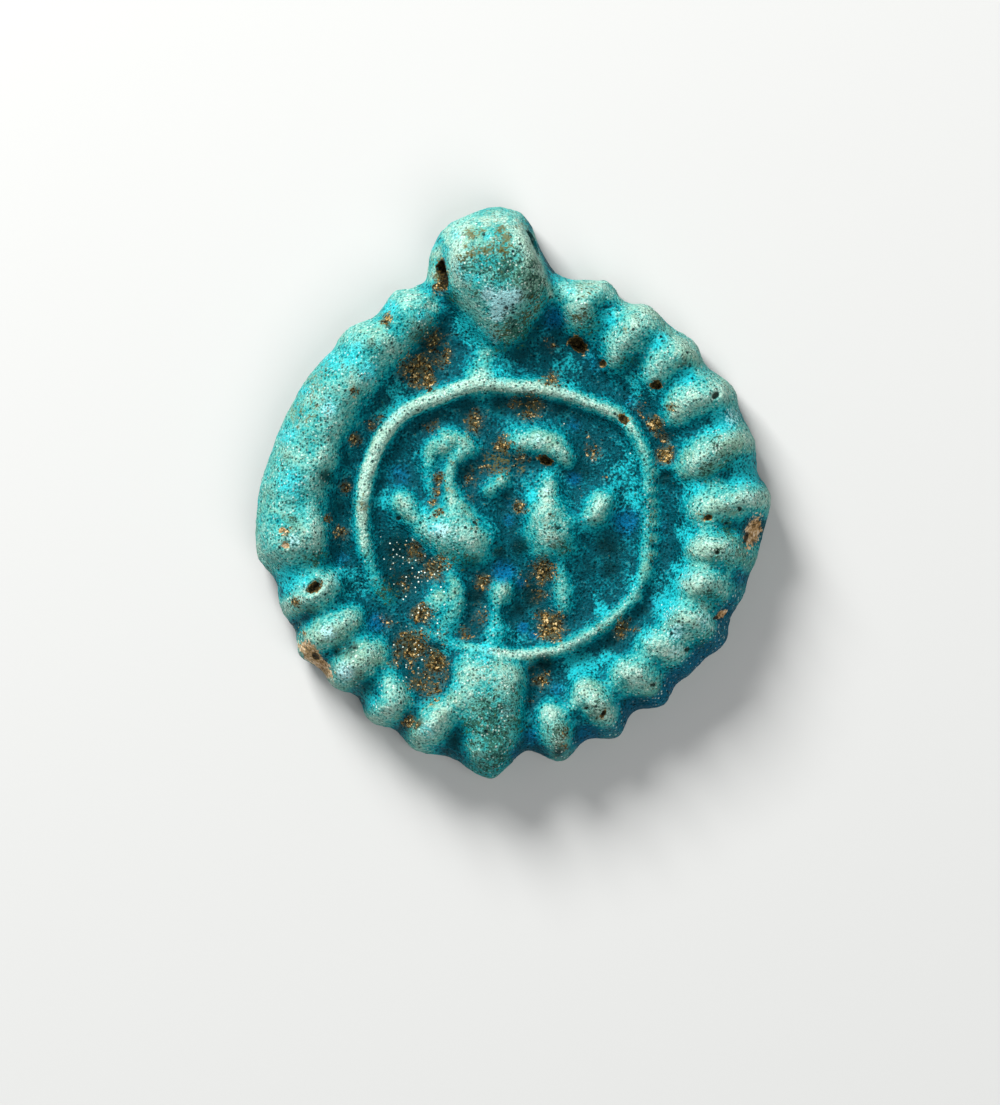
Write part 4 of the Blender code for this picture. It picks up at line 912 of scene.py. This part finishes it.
# the bore's right half gets painted shade, dark teal as inside a shaded hole
marks["shade"] = np.maximum(marks["shade"], in_bore * BORE_SHADE)
marks["under"] = ease((UNDER_TOP - z) / UNDER_TOP)
for name, values in marks.items():
    if name not in ("crown", "under"):
        values = values * facing_up
    attribute = bored.attributes.new(name, "FLOAT", "POINT")
    attribute.data.foreach_set("value", np.clip(values, 0.0, 1.0).astype(np.float32))
print("marks:", ", ".join(marks))

# %% [markdown]
# ## A workbench for finishes
# A shader is a net of nodes, but it is easier to read as sums. `Value` wraps a socket that carries a
# number, and each Python operator on it adds the Math node it stands for. `Finish` adds every other
# node through one method, with settings first and sockets after.

# %% Workbench
class Value:
    """A socket that carries a number, for use in Python expressions."""

    def __init__(self, finish, socket):
        self.finish, self.socket = finish, socket

    def math(self, operation, *values, clamp=False):
        """One Math node on some values."""
        sockets = {i: value for i, value in enumerate(values)}
        node = self.finish.add("ShaderNodeMath", {"operation": operation, "use_clamp": clamp}, sockets)
        return Value(self.finish, node.outputs[0])

    def __add__(self, other):
        return self.math("ADD", self, other)

    def __sub__(self, other):
        return self.math("SUBTRACT", self, other)

    def __rsub__(self, other):
        return self.math("SUBTRACT", other, self)

    def __mul__(self, other):
        return self.math("MULTIPLY", self, other)

    __radd__ = __add__
    __rmul__ = __mul__

    def clipped(self):
        """The same, kept between 0 and 1."""
        return self.math("ADD", self, 0.0, clamp=True)

    def over(self, low, high):
        """0 below low, 1 above high, and a smooth step between them."""
        node = self.finish.add("ShaderNodeMapRange", {"interpolation_type": "SMOOTHSTEP"},
                               {"Value": self, "From Min": low, "From Max": high})
        return Value(self.finish, node.outputs[0])


print("a Value takes + - * and 1 - value")


# %% A finish
class Finish:
    """A new material with an empty net of nodes."""

    def __init__(self, name):
        self.material = bpy.data.materials.new(name)
        self.material.use_nodes = True
        self.tree = self.material.node_tree
        self.tree.nodes.clear()

    def add(self, kind, settings=None, sockets=None):
        """Add a node: its settings first, then a value or a link for each socket."""
        node = self.tree.nodes.new(kind)
        for name, value in (settings or {}).items():
            setattr(node, name, value)
        for name, value in (sockets or {}).items():
            value = value.socket if isinstance(value, Value) else value
            if isinstance(value, bpy.types.NodeSocket):
                self.tree.links.new(value, node.inputs[name])
            else:
                node.inputs[name].default_value = value
        return node

    def mark(self, name):
        """One of the skin's marks."""
        return Value(self, self.add("ShaderNodeAttribute", {"attribute_name": name}).outputs["Fac"])

    def spread(self, place, size, detail):
        """Noise with lumps of a size in millimetres, drawn out to fill 0 to 1."""
        node = self.add("ShaderNodeTexNoise", None, {"Vector": place, "Scale": 1.0 / size, "Detail": detail})
        return (Value(self, node.outputs["Fac"]) - 0.5) * 2.2 + 0.5

    def dots(self, place, size):
        """Distance to the nearest of many scattered dots, and a random number for each dot."""
        node = self.add("ShaderNodeTexVoronoi", {"feature": "F1"}, {"Vector": place, "Scale": 1.0 / size})
        parts = self.add("ShaderNodeSeparateColor", None, {0: node.outputs["Color"]})
        return Value(self, node.outputs["Distance"]), Value(self, parts.outputs[0])

    def ramp(self, share, stops):
        """A colour read from stops of place and colour."""
        node = self.add("ShaderNodeValToRGB", None, {"Fac": share})
        stops_made = node.color_ramp.elements
        for _ in range(len(stops) - len(stops_made)):
            stops_made.new(0.5)
        for made, (place, shade) in zip(stops_made, stops):
            made.position, made.color = place, colour(*shade)
        return node.outputs["Color"]

    def mixed(self, share, under, over):
        """A colour over another one, by a share."""
        node = self.add("ShaderNodeMix", {"data_type": "RGBA"}, {0: share, 6: under, 7: over})
        return node.outputs[2]


def colour(red, green, blue):
    """A colour as a screen shows it, from 0 to 255, as the shader needs it."""
    shares = (value / 255.0 for value in (red, green, blue))
    return (*(s / 12.92 if s <= 0.04045 else ((s + 0.055) / 1.055) ** 2.4 for s in shares), 1.0)


print("mid turquoise:", np.round(colour(60, 170, 180), 3))

# %% [markdown]
# ## The glaze
# Copper gives the glaze its turquoise. It is thin and rubbed pale on the crests, and it pooled deep teal
# and blue in the troughs. The quartz grains under it show as pale and dark specks, fine pores are open all
# over, and brown soil lies in the hollows. The layers are laid in that order, each by a mask of its own:
# a mark of the skin, broken up by noise at the size of the grain. Light and shade are painted in as well:
# painted shade in hollows, on shaded flanks and on the edge's lower right, painted light on flanks that
# face the lamps, and a painted highlight on the lug's top.

# %% Colours of the glaze
# from the depth of a trough to the top of a crest: share, colour
DEPTHS = ((0, (0, 70, 80)), (0.15, (0, 104, 116)), (0.35, (6, 142, 148)), (0.55, (60, 162, 156)),
          (0.75, (108, 176, 164)), (1, (162, 197, 180)))
# of these, the darkest teal and the edge's deep teal are painted shade, the dark olive is partly painted
# shade, and the bright turquoise is partly painted light
GLAZE = {
    "blue": colour(0, 98, 140), "cyan_and_lit": colour(30, 184, 192), "grey": colour(168, 222, 224),
    "green": colour(92, 140, 108), "olive_and_shade": colour(22, 74, 60), "stain": colour(84, 78, 34),
    "pore": colour(0, 26, 30), "grain": colour(220, 234, 220),
    "dark": colour(16, 24, 20), "under": colour(104, 168, 160), "shade": colour(0, 30, 30),
    "painted_brink_shade": colour(0, 84, 110), "film": colour(76, 70, 40),
}
# from the darkest grain of soil to the palest
SOILS = ((0, (20, 18, 10)), (0.35, (54, 46, 24)), (0.6, (100, 80, 42)), (0.8, (146, 118, 68)),
         (1, (210, 186, 136)))
# the body under the glaze, from its dirtiest to its cleanest places
CHIPS = ((0.2, (92, 68, 32)), (0.5, (172, 134, 84)), (0.8, (222, 196, 164)))

print("colours:", len(DEPTHS) + len(GLAZE) + len(SOILS) + len(CHIPS))

# %% Noise at the sizes of the grain
glaze = Finish("worn_turquoise_glaze")
object_place = glaze.add("ShaderNodeTexCoord").outputs["Object"]
place_mm = glaze.add("ShaderNodeVectorMath", {"operation": "SCALE"},
                     {"Vector": object_place, "Scale": 1.0 / MM}).outputs["Vector"]

broad = glaze.spread(place_mm, 3.2, detail=2.0)
patchy = glaze.spread(place_mm, 1.0, detail=3.0)
sandy = glaze.spread(place_mm, 0.33, detail=2.0)
grainy = glaze.spread(place_mm, 0.17, detail=3.0)
fine = glaze.spread(place_mm, 0.1, detail=1.0)


def ragged(share, in_patches=0.0, in_sand=0.0, in_grain=0.0):
    """A share with its border broken up by noise of three sizes."""
    for noisy, part in ((patchy, in_patches), (sandy, in_sand), (grainy, in_grain)):
        if part:
            share = share + (noisy - 0.5) * part
    return share


def marked(name, *parts):
    """A mark of the skin with a ragged border."""
    return ragged(glaze.mark(name), *parts)


print("noise:", len(glaze.tree.nodes), "nodes")

# %% Layers of glaze
crown = glaze.mark("crown")
# crests and the ring's crest worn pale, with the painted highlight on the lug's top
worn_and_highlit = crown.math("MAXIMUM", crown, glaze.mark("ring"))
# the painted shade on the edge's slope also darkens the depth share
depth_share = (worn_and_highlit + (patchy - 0.5) * 0.32 + (broad - 0.5) * 0.16 + (sandy - 0.5) * 0.26
               + (grainy - 0.5) * 0.3 - glaze.mark("painted_brink_shade") * 0.5)
green_share = ((broad * 0.7 + patchy * 0.5 + (grainy - 0.5) * 0.3).over(0.62, 0.95)
               * worn_and_highlit.over(0.25, 0.7) * 0.45)
olive_and_shade_share = (ragged(glaze.mark("olive_and_shade") * 0.86, 0.4, 0.8, 1.5).over(0.32, 0.85)
              * glaze.mark("olive_and_shade").over(0.05, 0.3))
skin_colour = glaze.ramp(depth_share, DEPTHS)
for name, share in (
        ("blue", marked("blue", 0.4, 0.0, 0.4).over(0.25, 0.9) * 0.85),
        # bright turquoise, partly painted light on flanks that face the lamps
        ("cyan_and_lit", (marked("cyan_and_lit", 0.8, 0.0, 0.6) + 0.1).over(0.3, 0.9) * 0.75),
        ("green", green_share),
        ("grey", marked("greyed", 0.0, 0.0, 0.6).over(0.25, 0.7) * 0.85),
        ("under", glaze.mark("under") * 0.55),
        # painted shade on the slope of the edge, most on the lower right
        ("painted_brink_shade", marked("painted_brink_shade", 0.0, 0.4).over(0.15, 0.9) * 0.85),
        # painted shade in hollows, below the bodies, under the flutes and in the bore's right half
        ("shade", marked("shade", 0.4, 0.0, 0.6).over(0.2, 1.0) * 0.88),
        # dark olive green, partly painted shade on the lug's and the knob's lower sides and on shaded flanks
        ("olive_and_shade", olive_and_shade_share * 0.9)):
    skin_colour = glaze.mixed(share, skin_colour, GLAZE[name])
print("glaze layers so far:", len(glaze.tree.nodes), "nodes")

# %% Grain and pores
hole_away, hole_kind = glaze.dots(place_mm, 0.62)
hole_share = (1.0 - hole_away.over(0.1, 0.22)) * ragged(hole_kind, 0.6).over(0.75, 0.8)
pore_away, pore_kind = glaze.dots(place_mm, 0.24)
pore_share = (1.0 - pore_away.over(0.18, 0.44)) * (pore_kind + glaze.mark("olive_and_shade") * 0.35).over(0.45, 0.6)
speck_away, speck_kind = glaze.dots(place_mm, 0.19)
speck_share = (1.0 - speck_away.over(0.2, 0.5)) * speck_kind.over(0.7, 0.9)
gap_share = 1.0 - (grainy * 0.55 + fine * 0.45).over(0.18, 0.66)
for name, share in (
        ("pore", gap_share * (olive_and_shade_share * 0.3 + 0.6)),
        ("grain", speck_share * worn_and_highlit.over(0.1, 0.9) * 0.6),
        ("pore", pore_share * 0.75),
        ("pore", hole_share * 0.9),
        ("stain", marked("stain", 0.0, 0.5, 0.9).over(0.3, 0.8) * 0.85),
        ("film", marked("soil", 0.5, 0.3, 0.5).over(0.2, 0.75) * 0.75)):
    skin_colour = glaze.mixed(share, skin_colour, GLAZE[name])
print("with grain, pores and stains:", len(glaze.tree.nodes), "nodes")

# %% Soil, bare body and quartz
soil_away, soil_kind = glaze.dots(place_mm, 0.15)
_, soil_chance = glaze.dots(place_mm, 0.12)
soil_share = (ragged(glaze.mark("soil") + (soil_chance - 0.5) * 0.9, 0.7, 0.5).over(0.55, 0.78)
              * glaze.mark("soil").over(0.06, 0.24))
soil_colour = glaze.ramp(soil_kind + (fine - 0.5) * 0.5 - soil_away * 0.5 + 0.15, SOILS)
skin_colour = glaze.mixed(soil_share, skin_colour, soil_colour)
bare_share = marked("pit_bare", 0.0, 0.8, 0.5).over(0.35, 0.6) * glaze.mark("pit_bare").over(0.02, 0.2)
bare_colour = glaze.ramp(patchy * 0.6 + sandy * 0.3 + (grainy - 0.5) * 0.6 + 0.05, CHIPS)
skin_colour = glaze.mixed(bare_share * 0.9, skin_colour, bare_colour)
filled_share = (marked("pit_soil", 0.0, 0.7, 0.4).over(0.35, 0.5)
                * glaze.mark("pit_soil").over(0.02, 0.2))
filled_colour = glaze.ramp(0.8 - glaze.mark("pit_soil") * 0.7 + (grainy - 0.5) * 0.9, SOILS)
skin_colour = glaze.mixed(filled_share, skin_colour, filled_colour)
dark_share = marked("pit_dark", 0.0, 0.0, 0.3).over(0.35, 0.7)
skin_colour = glaze.mixed(dark_share * 0.9, skin_colour, GLAZE["dark"])
quartz_away, quartz_kind = glaze.dots(place_mm, 0.21)
quartz_chance = ragged(quartz_kind + glaze.mark("quartz") * 0.42, 0.06).over(0.995, 1.02)
quartz_share = ((1.0 - quartz_away.over(0.12, 0.34)) * quartz_chance * (1.0 - glaze.mark("painted_brink_shade"))
                * (1.0 - worn_and_highlit.over(0.35, 0.7)))
skin_colour = glaze.mixed(quartz_share, skin_colour, GLAZE["grain"])
print("with soil and quartz:", len(glaze.tree.nodes), "nodes")

# %% Roughness, and the finished glaze
relief = (grainy * 0.05 + fine * 0.02 + sandy * 0.05 - pore_share * 0.04 - hole_share * 0.1
          + speck_share * 0.02 + soil_share * 0.02) * MM
bump = glaze.add("ShaderNodeBump", None, {"Height": relief, "Distance": 1.0, "Strength": 1.0})
roughness = (0.52 + soil_share * 0.35 + pore_share * 0.2 + (grainy - 0.5) * 0.15).clipped()
shader = glaze.add("ShaderNodeBsdfPrincipled", None, {
    "Base Color": skin_colour, "Roughness": roughness, "Normal": bump.outputs["Normal"],
    "Specular IOR Level": 0.04})
glaze.add("ShaderNodeOutputMaterial", None, {"Surface": shader.outputs["BSDF"]})
bored.materials.clear()
bored.materials.append(glaze.material)
print("glaze:", len(glaze.tree.nodes), "nodes")

# %% [markdown]
# ## Where the piece belongs
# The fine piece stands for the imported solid, which stays behind for collisions, and it moves with the
# one body that there is.

# %% Bind
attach(pendant, "root")
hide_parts(NODE)

# %% [markdown]
# ## Floor, light and camera
# A small relief is read by light that falls across it. One large soft lamp stands beyond the lug, a
# little to the left, a weaker one fills from the other side, and the surroundings give the rest. The
# camera looks straight down through a long lens, so that the flanks of the lug and the rim aren't seen
# askew.

# %% Floor
FLOOR_HALF, FLOOR_GAP = 0.6, 0.00002  # in metres
sheet = bmesh.new()
bmesh.ops.create_grid(sheet, x_segments=1, y_segments=1, size=FLOOR_HALF)
floor_mesh = bpy.data.meshes.new("floor")
sheet.to_mesh(floor_mesh)
sheet.free()
floor = bpy.data.objects.new("floor", floor_mesh)
floor.location.z = solid_low[2] - FLOOR_GAP
bpy.context.scene.collection.objects.link(floor)
paper = Finish("pale_floor")
paper_shader = paper.add("ShaderNodeBsdfPrincipled", None, {
    "Base Color": colour(186, 186, 184), "Roughness": 0.9, "Specular IOR Level": 0.2})
paper.add("ShaderNodeOutputMaterial", None, {"Surface": paper_shader.outputs["BSDF"]})
floor_mesh.materials.append(paper.material)

# %% Lamps
def lamp(name, direction, distance, size, power):
    """A square soft lamp that looks at the pendant from a direction."""
    data = bpy.data.lights.new(name, "AREA")
    data.shape, data.size, data.energy = "SQUARE", size, power
    made = bpy.data.objects.new(name, data)
    direction = Vector(direction).normalized()
    made.location = direction * distance
    made.rotation_euler = direction.to_track_quat("Z", "Y").to_euler()
    bpy.context.scene.collection.objects.link(made)
    print(name, "lamp at", np.round(made.location, 2), "m")


lamp("window", (-0.46, 0.78, 0.6), 0.5, 0.2, 5.5)
lamp("fill", (0.4, -0.5, 1.1), 0.6, 0.4, 2.0)
SKY_COLOUR, SKY_STRENGTH = (0.9, 0.95, 1.0, 1.0), 0.24
world = bpy.data.worlds.new("studio")
world.use_nodes = True
sky = world.node_tree.nodes["Background"]
sky.inputs["Color"].default_value, sky.inputs["Strength"].default_value = SKY_COLOUR, SKY_STRENGTH
bpy.context.scene.world = world
bpy.context.scene.view_settings.view_transform = "Standard"

# %% Camera
VIEW_HEIGHT, CAMERA_DISTANCE, SENSOR = 73.67, 1.2, 36.0  # in mm, in metres, and in mm
VIEW_MIDDLE = (-0.9, -3.99)  # where the view's middle lies from the solid's, in millimetres
AIM_HEIGHT = 2.5  # the height that the distance is measured from
camera_data = bpy.data.cameras.new("camera")
camera_data.sensor_fit = "VERTICAL"
camera_data.sensor_height = SENSOR
camera_data.lens = SENSOR * CAMERA_DISTANCE / (VIEW_HEIGHT * MM)
camera = bpy.data.objects.new("camera", camera_data)
middle = (solid_low + solid_high) / 2.0
camera.location = (middle[0] + VIEW_MIDDLE[0] * MM, middle[1] + VIEW_MIDDLE[1] * MM,
                   solid_low[2] + AIM_HEIGHT * MM + CAMERA_DISTANCE)
bpy.context.scene.collection.objects.link(camera)
bpy.context.scene.camera = camera
print("lens, mm:", round(camera_data.lens, 1))
